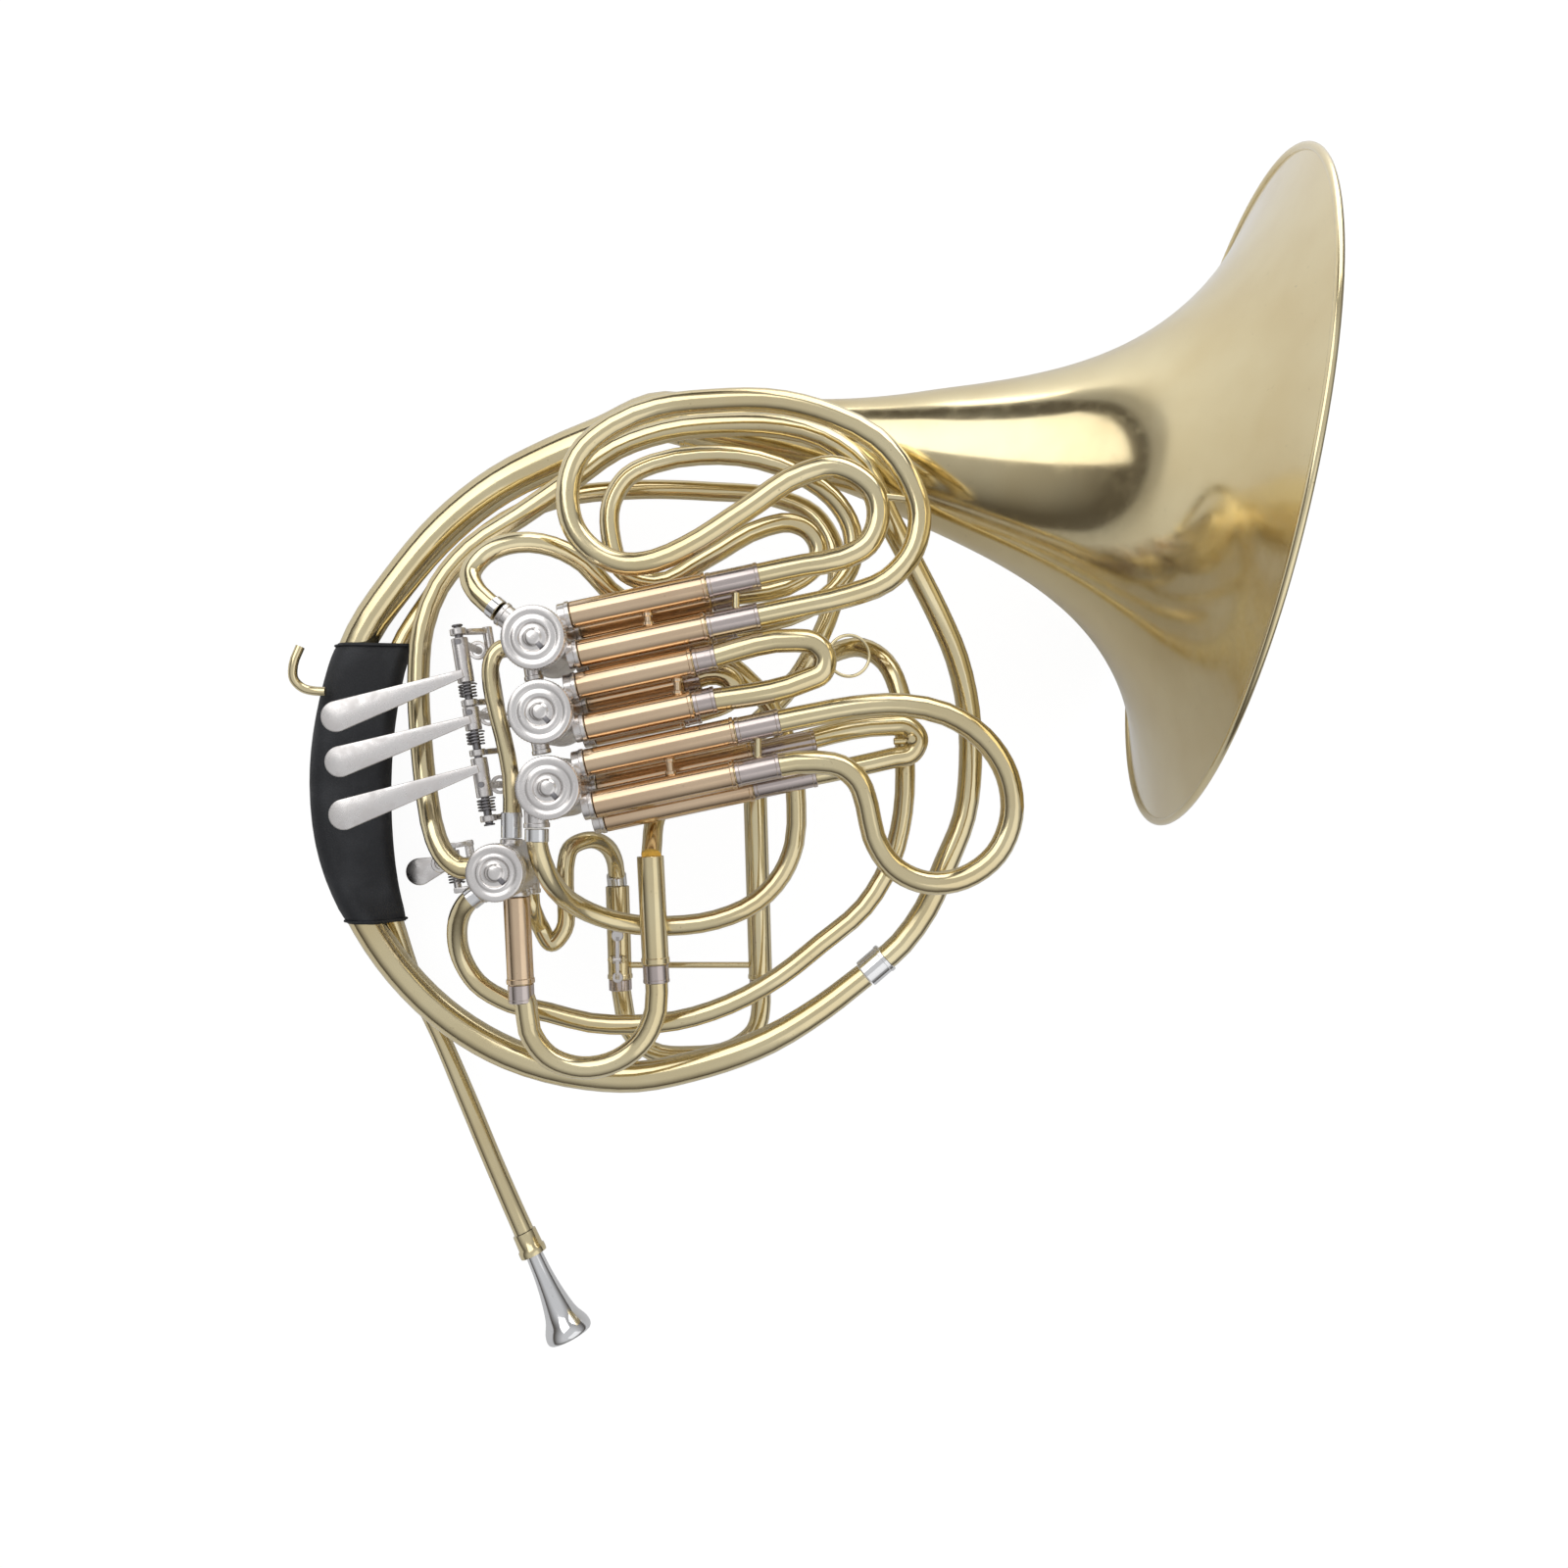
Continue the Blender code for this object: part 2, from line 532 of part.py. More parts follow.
def make_valve_slides():
    """Three slides on the F tier and three on the B flat tier behind it."""
    f3 = [(9, 99.8), (26, 103), (38, 109.5), (43, 121), (41, 133), (33, 141), (22, 145),
          (9, 142), (-18, 125), (-45, 108), (-59, 102), (-72, 100.5), (-85, 105), (-96, 117),
          (-99, 132), (-94, 150), (-78, 164), (-58, 172), (-34, 175), (0, 174.5), (23, 168),
          (42, 158), (56, 141), (62, 123), (59, 107), (47, 93), (29, 86), (5, 80.6)]
    loop_brace = cylinder((40.5, 132, F_TIER), (60, 130, F_TIER), 1.8, 8)
    leg_brace = cylinder(leg_point(-22, 86 - 4, F_TIER), leg_point(-22, 67.8 + 4, F_TIER), 1.8, 8)
    valve_slide("f3", "3", (86.0, 67.8), F_TIER, -35.4, f3, (0.55,), 24.0,
                extra=(loop_brace, leg_brace))
    f2 = [(5, 65.6), (13, 64.6), (18.6, 58.2), (17.2, 51.0), (10, 47.4)]
    valve_slide("f2", "2", (53.0, 33.6), F_TIER, -41.7, f2, (0.86,), 10.5)
    f1 = [(14, 31.8), (32, 35), (55, 36), (74, 32), (91, 21), (102, 4), (104, -15), (97, -32),
          (82, -43), (65, -45), (50, -38), (41, -24), (38, -10), (34, 1), (26, 8), (14, 10)]
    leg_brace = cylinder(leg_point(-12, 17.2 - 4, F_TIER), leg_point(-12, -2.6 + 4, F_TIER), 1.8, 8)
    valve_slide("f1", "1", (17.2, -2.6), F_TIER, -22.4, f1, (0.55,), 20.5, extra=(leg_brace,))
    b3 = [(8, 97.6), (15, 104), (16.5, 112), (12, 120), (3, 124), (-9, 122), (-37, 107),
          (-61, 95.5), (-77, 102), (-82, 116), (-82, 133), (-74, 146), (-62, 152), (-40, 156),
          (-12, 154), (7, 147), (23, 136), (32, 121), (32, 105), (24, 92), (10, 82.8)]
    valve_slide("b3", "3", (83.3, 67.7), B_TIER, -35.0, b3, (0.5,), 12.0, 4.7)
    b2 = [(-32, 52.4), (-26, 50.0), (-23.4, 45.4), (-26, 40.4), (-32, 37.2)]
    valve_slide("b2", "2", (47.3, 31.7), B_TIER, -48.0, b2, (0.5,), 8.0)
    b1 = [(50, 27.8), (58, 27.6), (63.5, 21.4), (60.5, 14.6), (51, 12.2)]
    knob = cylinder((60, 21, B_TIER), (60, 21, B_TIER + 9.0), 2.6, 10)
    grip = cylinder((52, 20.2, B_TIER), (64, 21, B_TIER), 1.6, 8)
    valve_slide("b1", "1", (5.5, -10.1), B_TIER, -15.0, b1, (0.5,), 30.0, 5.0,
                extra=(grip, knob))


def make_main_slide():
    """Main tuning slide below the valves, and the sleeve on its left leg."""
    level = MAIN_LEFT.z
    left_end = MAIN_LEFT + MAIN_DOWN * MAIN_LEFT_LENGTH
    right_end = MAIN_RIGHT + MAIN_DOWN * MAIN_RIGHT_LENGTH
    sleeve = cylinder(MAIN_LEFT, left_end, 6.4, 12)
    bore = cylinder(MAIN_LEFT - MAIN_DOWN, left_end + MAIN_DOWN, SLEEVE_BORE, 12)
    finish(cut(sleeve, bore), "main_sleeve", "brass")
    crook = [(-122.4, -104, level), (-120.6, -117, level), (-112, -129, level),
             (-96, -134.5, level), (-79, -131, level), (-66, -120, level),
             (-60.8, -107, level)]
    legs_in = [MAIN_LEFT + MAIN_DOWN * 6.0, left_end + MAIN_DOWN * 4.0]
    legs_out = [right_end + MAIN_DOWN * 4.0, MAIN_RIGHT + MAIN_DOWN * 8.0]
    route = [legs_in[0], *smooth_route([legs_in[1], *crook, legs_out[0]]), legs_out[1]]
    bow = welded(tube("main_slide", route, 5.4, smooth=False))
    rings = [cylinder(end + MAIN_DOWN * GAP, end + MAIN_DOWN * 9.0, 6.3, 12)
             for end in (left_end, right_end)]
    joint = slide_joint("main_slide_axis", MAIN_LEFT, MAIN_DOWN)
    finish(join(bow, *rings), "main_tuning_slide", "brass", joint)


def make_rear_slide():
    """F tuning slide at the back of the body, with its water key."""
    down = Vector((0.03, -1.0, 0.0)).normalized()
    level = -45.0
    left = Vector((-86.5, -53.0, level))
    right = Vector((-15.4, 7.6, level))
    left_end = left + down * 48.0
    right_end = right + down * 108.6
    lines = [(left, left_end), (right, right_end)]
    brace_y = -94.0
    ends = [a + down * ((a.y - brace_y) / -down.y) for a in (left, right)]
    parts = [cylinder(a, b, 6.2, 12) for a, b in lines]
    inward = (ends[1] - ends[0]).normalized() * 5.6
    parts.append(cylinder(ends[0] + inward, ends[1] - inward, 1.6, 8))
    hinge = left + down * 37.0 + Vector((0.0, 0.0, 9.2))
    for side in (-1, 1):
        foot = hinge + Vector((side * 3.3, 0.0, -2.0))
        parts.append(box(foot, (1.4, 3.4, 7.0)))
    pin = cylinder(hinge + Vector((-5.0, 0.0, 0.0)), hinge + Vector((5.0, 0.0, 0.0)), 0.9, 8)
    parts.append(pin)
    parts.append(cylinder(hinge + Vector((0.3, -9.0, -4.6)), hinge + Vector((0.3, -9.0, -0.9)),
                          2.2, 10))
    sleeves = join(parts[0], *parts[1:])
    bores = [cylinder(a - down, b + down, 5.6, 12) for a, b in lines]
    finish(cut(sleeves, *bores), "rear_slide_sleeves", "brass")
    crook = [(-83.6, -113, level), (-80, -128, level), (-69, -138.5, level), (-48, -141, level),
             (-27, -137.5, level), (-15, -128, level), (-11.8, -113, level)]
    legs_in = [left + down * 6.0, left_end + down * 3.0]
    legs_out = [right_end + down * 3.0, right + down * 60.0]
    route = [legs_in[0], *smooth_route([legs_in[1], *crook, legs_out[0]]), legs_out[1]]
    bow = welded(tube("rear_slide", route, 5.0, smooth=False))
    rings = [cylinder(end + down * GAP, end + down * 6.0, 5.9, 12)
             for end in (left_end, right_end)]
    joint = slide_joint("rear_slide_axis", left, down)
    finish(join(bow, *rings), "rear_tuning_slide", "brass", joint)
    make_water_key(hinge)


def make_water_key(hinge):
    """Sprung lever with a cork pad over the nipple."""
    joint = empty("water_key_axis", frame_at(hinge, Vector((1.0, 0.0, 0.0)),
                                             Vector((0.0, 1.0, 0.0))), BODY)
    barrel = cylinder(hinge + Vector((-2.2, 0, 0)), hinge + Vector((2.2, 0, 0)), 2.3, 12)
    arm = box(hinge + Vector((0.2, 1.0, 1.5)), (2.2, 22.0, 1.2))
    touch = cylinder(hinge + Vector((0.2, 12.5, 0.9)), hinge + Vector((0.2, 12.5, 2.1)), 3.2, 12)
    pad = cylinder(hinge + Vector((0.3, -9.0, -0.5)), hinge + Vector((0.3, -9.0, 1.6)), 2.8, 12)
    key = join(barrel, arm, touch, pad)
    bore = cylinder(hinge + Vector((-4, 0, 0)), hinge + Vector((4, 0, 0)), 1.25, 8)
    return finish(cut(key, bore), "water_key", "nickel_silver", joint)


def knuckle(valve, offset, level, reach=SLEEVE_START - GAP, direction=SLIDE_DIR, radius=6.3):
    """Short port tube on a casing, beside its axis by offset."""
    centre = Vector((*VALVES[valve], level))
    side = Vector((-direction.y, direction.x, 0.0))
    start = centre + side * offset
    return cylinder(start - direction * 1.0, start + direction * reach, radius, 10)


def leg_offset(valve, y_at_datum):
    """How far a slide's leg passes to the side of its valve's axis."""
    centre = VALVES[valve]
    on_leg = leg_point(centre[0], y_at_datum, 0.0)
    return (on_leg.y - centre[1]) * math.cos(SLIDE_ANGLE)


def make_casing(valve, knuckles):
    """Cup-shaped casing: knuckles outside, a bore inside, a bearing hole through its back."""
    x, y = VALVES[valve]
    radius = CASING_RADIUS[valve]
    casing = cylinder((x, y, CASING_BACK), (x, y, CASING_FRONT), radius, 18)
    casing = join(casing, *knuckles)
    stops = []
    for angle in (math.radians(-STOP_ANGLE), math.radians(STOP_ANGLE)):
        way = Matrix.Rotation(angle, 3, "Z") @ ROD_DIR
        spot = Vector((x, y, 0.0)) + way * 10.2
        stops.append(cylinder((spot.x, spot.y, CASING_BACK + 1.0),
                              (spot.x, spot.y, -10.5), 1.4, 8))
    casing = join(casing, *stops)
    bore = cylinder((x, y, CASING_BACK + BACK_WALL), (x, y, CASING_FRONT + 1.0),
                    radius - CASING_WALL, 18)
    hole = cylinder((x, y, CASING_BACK - 1.0), (x, y, CASING_BACK + BACK_WALL + 1.0),
                    SPINDLE_RADIUS + GAP, 12)
    return finish(cut(casing, bore, hole), "casing_" + valve, "nickel_silver")


def make_casings():
    """Casings, with a knuckle for each tube that reaches them."""
    down = Vector((0.0, -1.0, 0.0))
    legs = {"3": ((86.0, 67.8), (83.3, 67.7)), "2": ((53.0, 33.6), (47.3, 31.7)),
            "1": ((17.2, -2.6), (5.5, -10.1))}
    for valve, (f_legs, b_legs) in legs.items():
        ports = [knuckle(valve, leg_offset(valve, y), F_TIER) for y in f_legs]
        ports += [knuckle(valve, leg_offset(valve, y), B_TIER) for y in b_legs]
        x, y = VALVES[valve]
        if valve == "3":
            ports.append(cylinder((x, y, F_TIER), (-129.4, 78.2, F_TIER), 5.4, 12))
            ports.append(cylinder((x, y, 30), (-128.0, 63.6, 30), 4.6, 12))
        if valve == "1":
            ports.append(cylinder((-113.4, -8, F_TIER), (-113.0, -20.0, F_TIER), 5.6, 12))
        if valve != "1":
            below = VALVES[{"3": "2", "2": "1"}[valve]]
            ports.append(cylinder((x - 6, y, 36), (below[0] - 6.0, below[1] + 15.4, 36), 4.0, 8))
        make_casing(valve, ports)
    x, y = VALVES["change"]
    ports = [cylinder((x, y, B_TIER), (-147.6, -39.9, B_TIER), 5.9, 12),
             cylinder((x, y, B_TIER), (-144.9, -51.7, B_TIER), 5.5, 12),
             cylinder((-127.4, y, 17), (-126.8, -53.2, 17), 6.3, 12),
             cylinder((-126.6, y + 4, 30), (-126.6, -25.5, 30), 4.7, 10),
             cylinder((-123.0, -46, 3.4), (-122.6, -52.9, 3.4), 4.5, 10)]
    make_casing("change", ports)


def make_caps():
    """Screw caps with a rolled groove and a centre boss, bearing plate underneath."""
    for valve, (x, y) in VALVES.items():
        radius = CASING_RADIUS[valve] + CAP_OVERHANG
        plug = CASING_RADIUS[valve] - CASING_WALL - GAP
        base = CASING_FRONT + GAP
        top = base + CAP_HEIGHT
        profile = [(0.0, top + 0.6), (3.2, top + 0.5), (4.4, top - 0.9), (6.0, top - 0.9),
                   (6.6, top), (radius - 1.2, top), (radius, top - 1.0), (radius, base),
                   (plug, base), (plug, base - 1.3), (0.0, base - 1.3)]
        cap = turned(profile, frame_at((x, y, 0.0), Vector((0, 0, 1))), 16)
        finish(cap, "cap_" + valve, "nickel_silver")


def make_rotors():
    """Rotors with two crossing passages on each tier, and their stop arms."""
    for valve, (x, y) in VALVES.items():
        joint = empty("rotor_axis_" + valve, frame_at((x, y, 0.0), Vector((0, 0, 1))), BODY)
        radius = CASING_RADIUS[valve] - CASING_WALL - 0.4
        rotor = cylinder((x, y, CASING_BACK + BACK_WALL + 0.4), (x, y, CASING_FRONT - 1.5),
                         radius, 18)
        spindle = cylinder((x, y, HUB_BACK - 1.0), (x, y, CASING_BACK + BACK_WALL + 2.0),
                           SPINDLE_RADIUS, 12)
        passages = []
        for level in (B_TIER, F_TIER):
            for side in (-1, 1):
                middle = Vector((x, y, level)) + SLIDE_DIR.cross(Vector((0, 0, 1))) * side * 10.5
                passages.append(cylinder(middle - SLIDE_DIR * 16.0, middle + SLIDE_DIR * 16.0,
                                         5.0, 8))
        rotor = cut(join(rotor, spindle), *passages)
        finish(rotor, "rotor_" + valve, "brass", joint)
        rest_dir = Matrix.Rotation(math.radians(45.0), 3, "Z") @ ROD_DIR
        hub = cylinder((x, y, HUB_BACK), (x, y, HUB_FRONT), HUB_RADIUS, 14)
        centre = Vector((x, y, (HUB_BACK + HUB_FRONT) / 2)) + rest_dir * 8.0
        arm = box(centre, (8.5, 4.0, 3.2), rest_dir)
        hole = cylinder((x, y, HUB_BACK - 1), (x, y, HUB_FRONT + 1), SPINDLE_RADIUS + GAP, 12)
        finish(cut(join(hub, arm), hole), "stop_arm_" + valve, "nickel_silver", joint)


def rod_point(station, origin=ROD_TOP):
    return origin + ROD_DIR * station


def paddle_outline(tip, neck, radius, neck_half=1.9):
    """Teardrop: round at the tip and narrowing to the neck."""
    tip = Vector(tip)
    neck = Vector(neck)
    along = (neck - tip).normalized()
    side = Vector((-along.y, along.x))
    outline = [tuple(neck + side * neck_half)]
    for k in range(9):
        angle = math.radians(82.0 + k * (196.0 / 8))
        outline.append(tuple(tip + along * (math.cos(angle) * radius)
                             + side * (math.sin(angle) * radius)))
    outline.append(tuple(neck - side * neck_half))
    return outline


def make_finger_levers():
    """Paddle, barrel on the rod, and an arm that reaches behind the valves."""
    for valve, (paddle_at, barrel_from, barrel_to) in LEVER_STATIONS.items():
        joint = empty("lever_axis_" + valve, frame_at(rod_point(paddle_at), ROD_DIR), BODY)
        barrel = cylinder(rod_point(barrel_from), rod_point(barrel_to), BARREL_RADIUS, 12)
        neck = rod_point(paddle_at)
        outline = paddle_outline(PADDLE_TIPS[valve], (neck.x, neck.y), PADDLE_RADIUS)
        paddle = extruded(outline, PADDLE_LEVEL, PADDLE_THICKNESS)
        top = rod_point((Vector((*VALVES[valve], ROD_TOP.z)) - ROD_TOP).dot(ROD_DIR) - LINK_OFFSET)
        foot = Vector((top.x, top.y, LINK_LEVEL - 2.6))
        arm = cylinder(top, foot, 1.9, 8)
        lever = join(barrel, paddle, arm)
        bore = cylinder(rod_point(barrel_from - 1), rod_point(barrel_to + 1), BARREL_BORE, 8)
        finish(cut(lever, bore), "finger_lever_" + valve, "nickel_silver", joint)
        make_link(valve, foot)


def make_link(valve, foot):
    """Bar that slides past the rotor's hub, with a fork round the arm's end."""
    hub = Vector((*VALVES[valve], LINK_LEVEL))
    line = hub - ROD_DIR * LINK_OFFSET
    start = Vector((foot.x, foot.y, LINK_LEVEL))
    start = line + ROD_ACROSS * (start - line).dot(ROD_ACROSS)
    end = line + ROD_ACROSS * 6.0
    joint = empty("link_axis_" + valve, frame_at(line, ROD_ACROSS, Vector((0, 0, 1))), BODY)
    middle = (start + ROD_ACROSS * 3.0).lerp(end, 0.5)
    bar = box(middle, ((end - start).length - 3.0, 2.0, 2.4), ROD_ACROSS)
    eye = cylinder(start - Vector((0, 0, 1.4)), start + Vector((0, 0, 1.4)), 4.6, 12)
    slot = cylinder(start - Vector((0, 0, 4)), start + Vector((0, 0, 4)), 3.0, 12)
    finish(cut(join(bar, eye), slot), "link_bar_" + valve, "nickel_silver", joint)


def make_thumb_lever():
    """Lever behind the body for the change valve, with its bracket, rod and spring."""
    hub = Vector((*VALVES["change"], LINK_LEVEL))
    line = hub - ROD_DIR * LINK_OFFSET
    hinge = line - ROD_ACROSS * 40.0
    hinge.z = -36.0
    joint = empty("thumb_axis", frame_at(hinge, -ROD_DIR), BODY)
    barrel = cylinder(hinge - ROD_DIR * 5.0, hinge + ROD_DIR * 5.0, 3.6, 12)
    tip = hinge - ROD_ACROSS * 19.0 + ROD_DIR * 3.0
    outline = paddle_outline((tip.x, tip.y), (hinge.x, hinge.y), 7.0, 2.4)
    paddle = extruded(outline, hinge.z - 3.2, 1.8)
    foot = Vector((hinge.x, hinge.y, LINK_LEVEL + 2.4))
    arm = cylinder(hinge, foot, 1.9, 8)
    bore = cylinder(hinge - ROD_DIR * 6.0, hinge + ROD_DIR * 6.0, BARREL_BORE, 8)
    lever = cut(join(barrel, paddle, arm), bore)
    finish(lever, "thumb_lever", "nickel_silver", joint)
    make_link("change", foot)
    pin = cylinder(hinge - ROD_DIR * 9.0, hinge + ROD_DIR * 17.0, ROD_RADIUS, 10)
    plate_at = hinge + ROD_ACROSS * 9.0 + ROD_DIR * 4.0
    plate = box(plate_at, (4.0, 26.0, 3.0), ROD_ACROSS)
    feet = [box(hinge + ROD_DIR * station + ROD_ACROSS * 4.6, (13.0, 2.6, 5.0), ROD_ACROSS)
            for station in (-7.4, 15.4)]
    strut = cylinder(Vector((-159.2, -43.1, -35.5)), Vector((-143.4, -41.5, 2.0)), 1.6, 8)
    finish(join(pin, plate, strut, *feet), "thumb_bracket", "nickel_silver")
    make_spring("thumb_spring", hinge + ROD_DIR * 6.0, SPRING_RADIUS)


def make_rod_and_cradle():
    """Hinge rod of the finger levers, and the cradle that holds it on the casings."""
    rod = cylinder(rod_point(ROD_ENDS[0]), rod_point(ROD_ENDS[1]), ROD_RADIUS, 10)
    finish(rod, "hinge_rod", "spring_steel")
    out = ROD_ACROSS * 11.0 + Vector((0.0, 0.0, -13.0))
    bar = cylinder(rod_point(POST_STATIONS[0] - 2.0) + out, rod_point(POST_STATIONS[-1] + 2.0) + out,
                   2.4, 8)
    parts = []
    for station in POST_STATIONS:
        top = rod_point(station)
        parts.append(cylinder(top - ROD_DIR * 1.5, top + ROD_DIR * 1.5, 3.9, 10))
        parts.append(box(top + out * 0.5, (15.6, 2.6, 3.4), out, ROD_DIR.cross(out)))
    for valve in ("3", "2", "1"):
        centre = Vector((*VALVES[valve], 15.0))
        start = rod_point((centre - ROD_TOP).dot(ROD_DIR)) + out
        way = (centre - start).normalized()
        parts.append(cylinder(start, centre - way * (CASING_RADIUS[valve] + GAP), 1.9, 8))
    bores = [cylinder(rod_point(station - 2.5), rod_point(station + 2.5), BARREL_BORE, 8)
             for station in POST_STATIONS]
    finish(cut(join(bar, *parts), *bores), "lever_cradle", "nickel_silver")


def make_spring(name, start, radius):
    """Torsion spring round the hinge rod, one unbroken wire with two straight ends."""
    side_a = ROD_ACROSS
    side_b = Vector((0.0, 0.0, 1.0))
    points = []
    total = SPRING_CURLS * POINTS_PER_CURL
    for k in range(total + 1):
        angle = 2 * math.pi * k / POINTS_PER_CURL
        points.append(start + ROD_DIR * (SPRING_PITCH * k / POINTS_PER_CURL)
                      + side_a * (math.cos(angle) * radius) + side_b * (math.sin(angle) * radius))
    lead_in = points[0] - side_b * 3.5
    lead_out = points[-1] + side_b * 3.5
    wire = [lead_in, *points, lead_out]
    spring = finish(tube(name, wire, SPRING_WIRE, resolution=1, smooth=False), name, "spring_steel")
    report_gap(name, wire)
    return spring


def report_gap(name, wire):
    """Prints the least gap between one curl of a wire and the next."""
    least = min((a - b).length for i, a in enumerate(wire)
                for b in wire[i + POINTS_PER_CURL // 2 + 1:])
    print(name, "least gap to itself: %.2f mm" % (least - 2 * SPRING_WIRE))


def lay_down():
    """Turns the body as it lies and sets the origin under the middle of its box."""
    turn = Matrix.Rotation(LAY_PITCH, 4, "X") @ Matrix.Rotation(LAY_ROLL, 4, "Y")
    BODY.matrix_local = turn
    bpy.context.view_layer.update()
    depsgraph = bpy.context.evaluated_depsgraph_get()
    low = Vector((1e9, 1e9, 1e9))
    high = -low
    for obj in HORN.objects:
        if obj.type == "EMPTY":
            continue
        mesh = obj.evaluated_get(depsgraph).to_mesh()
        for vert in mesh.vertices:
            spot = obj.matrix_world @ vert.co
            low = Vector(map(min, low, spot))
            high = Vector(map(max, high, spot))
        obj.evaluated_get(depsgraph).to_mesh_clear()
    shift = Vector((-(low.x + high.x) / 2, -(low.y + high.y) / 2, -low.z))
    BODY.matrix_local = Matrix.Translation(shift) @ turn
    bpy.context.view_layer.update()


def main():
    make_bell()
    make_bell_tail()
    make_first_branch()
    make_leadpipe()
    make_receiver()
    make_mouthpiece()
    make_guard()
    make_pinky_hook()
    make_f_branch()
    make_feed_tube()
    make_link_tube()
    make_riser_tube()
    make_valve_slides()
    make_main_slide()
    make_rear_slide()
    make_casings()
    make_caps()
    make_rotors()
    make_rod_and_cradle()
    make_finger_levers()
    for valve, station in SPRING_STATIONS.items():
        make_spring("lever_spring_" + valve, rod_point(station), SPRING_RADIUS)
    make_thumb_lever()
    lay_down()


main()
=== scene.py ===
import json
import math

import bmesh
import bpy
from mathutils import Matrix, Vector


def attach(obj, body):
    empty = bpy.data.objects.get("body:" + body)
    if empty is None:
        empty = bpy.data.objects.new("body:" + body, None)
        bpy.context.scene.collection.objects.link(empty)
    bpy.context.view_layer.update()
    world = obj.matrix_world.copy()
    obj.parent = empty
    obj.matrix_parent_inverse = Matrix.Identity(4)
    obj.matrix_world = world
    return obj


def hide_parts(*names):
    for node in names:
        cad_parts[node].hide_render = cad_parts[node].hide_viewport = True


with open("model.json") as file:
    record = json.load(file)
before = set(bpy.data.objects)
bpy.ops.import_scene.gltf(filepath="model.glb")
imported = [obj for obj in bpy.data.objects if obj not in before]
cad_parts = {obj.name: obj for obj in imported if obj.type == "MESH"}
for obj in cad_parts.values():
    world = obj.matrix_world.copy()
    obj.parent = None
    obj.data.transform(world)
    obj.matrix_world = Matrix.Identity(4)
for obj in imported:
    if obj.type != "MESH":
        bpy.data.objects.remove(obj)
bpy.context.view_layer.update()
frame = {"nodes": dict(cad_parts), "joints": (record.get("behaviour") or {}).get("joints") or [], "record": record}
mm = 0.001

# How the horn lies, as in the CAD: its own frame is X to the bell, Y up its front, Z out of the valve side
lay = {"roll": math.radians(-17.24), "pitch": math.radians(-4.07)}
rodTop = Vector((-151.1, 66.4, 28.0))
rodDir = Vector((0.161, -0.987, 0.0)).normalized()
rodAcross = Vector((0.987, 0.161, 0.0)).normalized()
leverStations = {"3": (15.3, -1.5, 19.5), "2": (36.9, 31.0, 42.0), "1": (59.9, 55.0, 73.5)}

turn = Matrix.Rotation(lay["pitch"], 4, "X") @ Matrix.Rotation(lay["roll"], 4, "Y")
knownPlace = next(j for j in frame["joints"] if j["name"] == "lever_3_press")["pos_m"]
shift = Vector(knownPlace) - turn @ ((rodTop + rodDir * leverStations["3"][0]) * mm)
hornPlace = Matrix.Translation(shift) @ turn


# Camera at the photograph's angle, square to the valve side
camera = {"height": 664.0, "focalPixels": 1393.0, "imagePixels": 1600.0, "sensor": 36.0}


def addCamera():
    data = bpy.data.cameras.new("camera")
    data.sensor_width = camera["sensor"]
    data.lens = camera["focalPixels"] / camera["imagePixels"] * camera["sensor"]
    data.clip_start = 0.01
    made = bpy.data.objects.new("camera", data)
    made.matrix_world = hornPlace @ Matrix.Translation((0, 0, camera["height"] * mm))
    bpy.context.scene.collection.objects.link(made)
    bpy.context.scene.camera = made


# Materials

class Value:
    # A socket with arithmetic: each operator adds a Math node
    def __init__(self, tree, socket):
        self.tree = tree
        self.socket = socket

    def math(self, operation, other=0.0, third=0.0, flip=False):
        made = self.tree.nodes.new("ShaderNodeMath")
        made.operation = operation
        inputs = [other, self] if flip else [self, other]
        for slot, item in zip(made.inputs, [*inputs, third]):
            if isinstance(item, Value):
                self.tree.links.new(item.socket, slot)
            else:
                slot.default_value = item
        return Value(self.tree, made.outputs[0])

    def __add__(self, other):
        return self.math("ADD", other)

    __radd__ = __add__

    def __mul__(self, other):
        return self.math("MULTIPLY", other)

    __rmul__ = __mul__

    def __sub__(self, other):
        return self.math("SUBTRACT", other)

    def __rsub__(self, other):
        return self.math("SUBTRACT", other, flip=True)

    def clamp(self):
        return self.math("MAXIMUM", 0.0).math("MINIMUM", 1.0)

    def between(self, low, high):
        return ((self - low) * (1.0 / (high - low))).clamp()


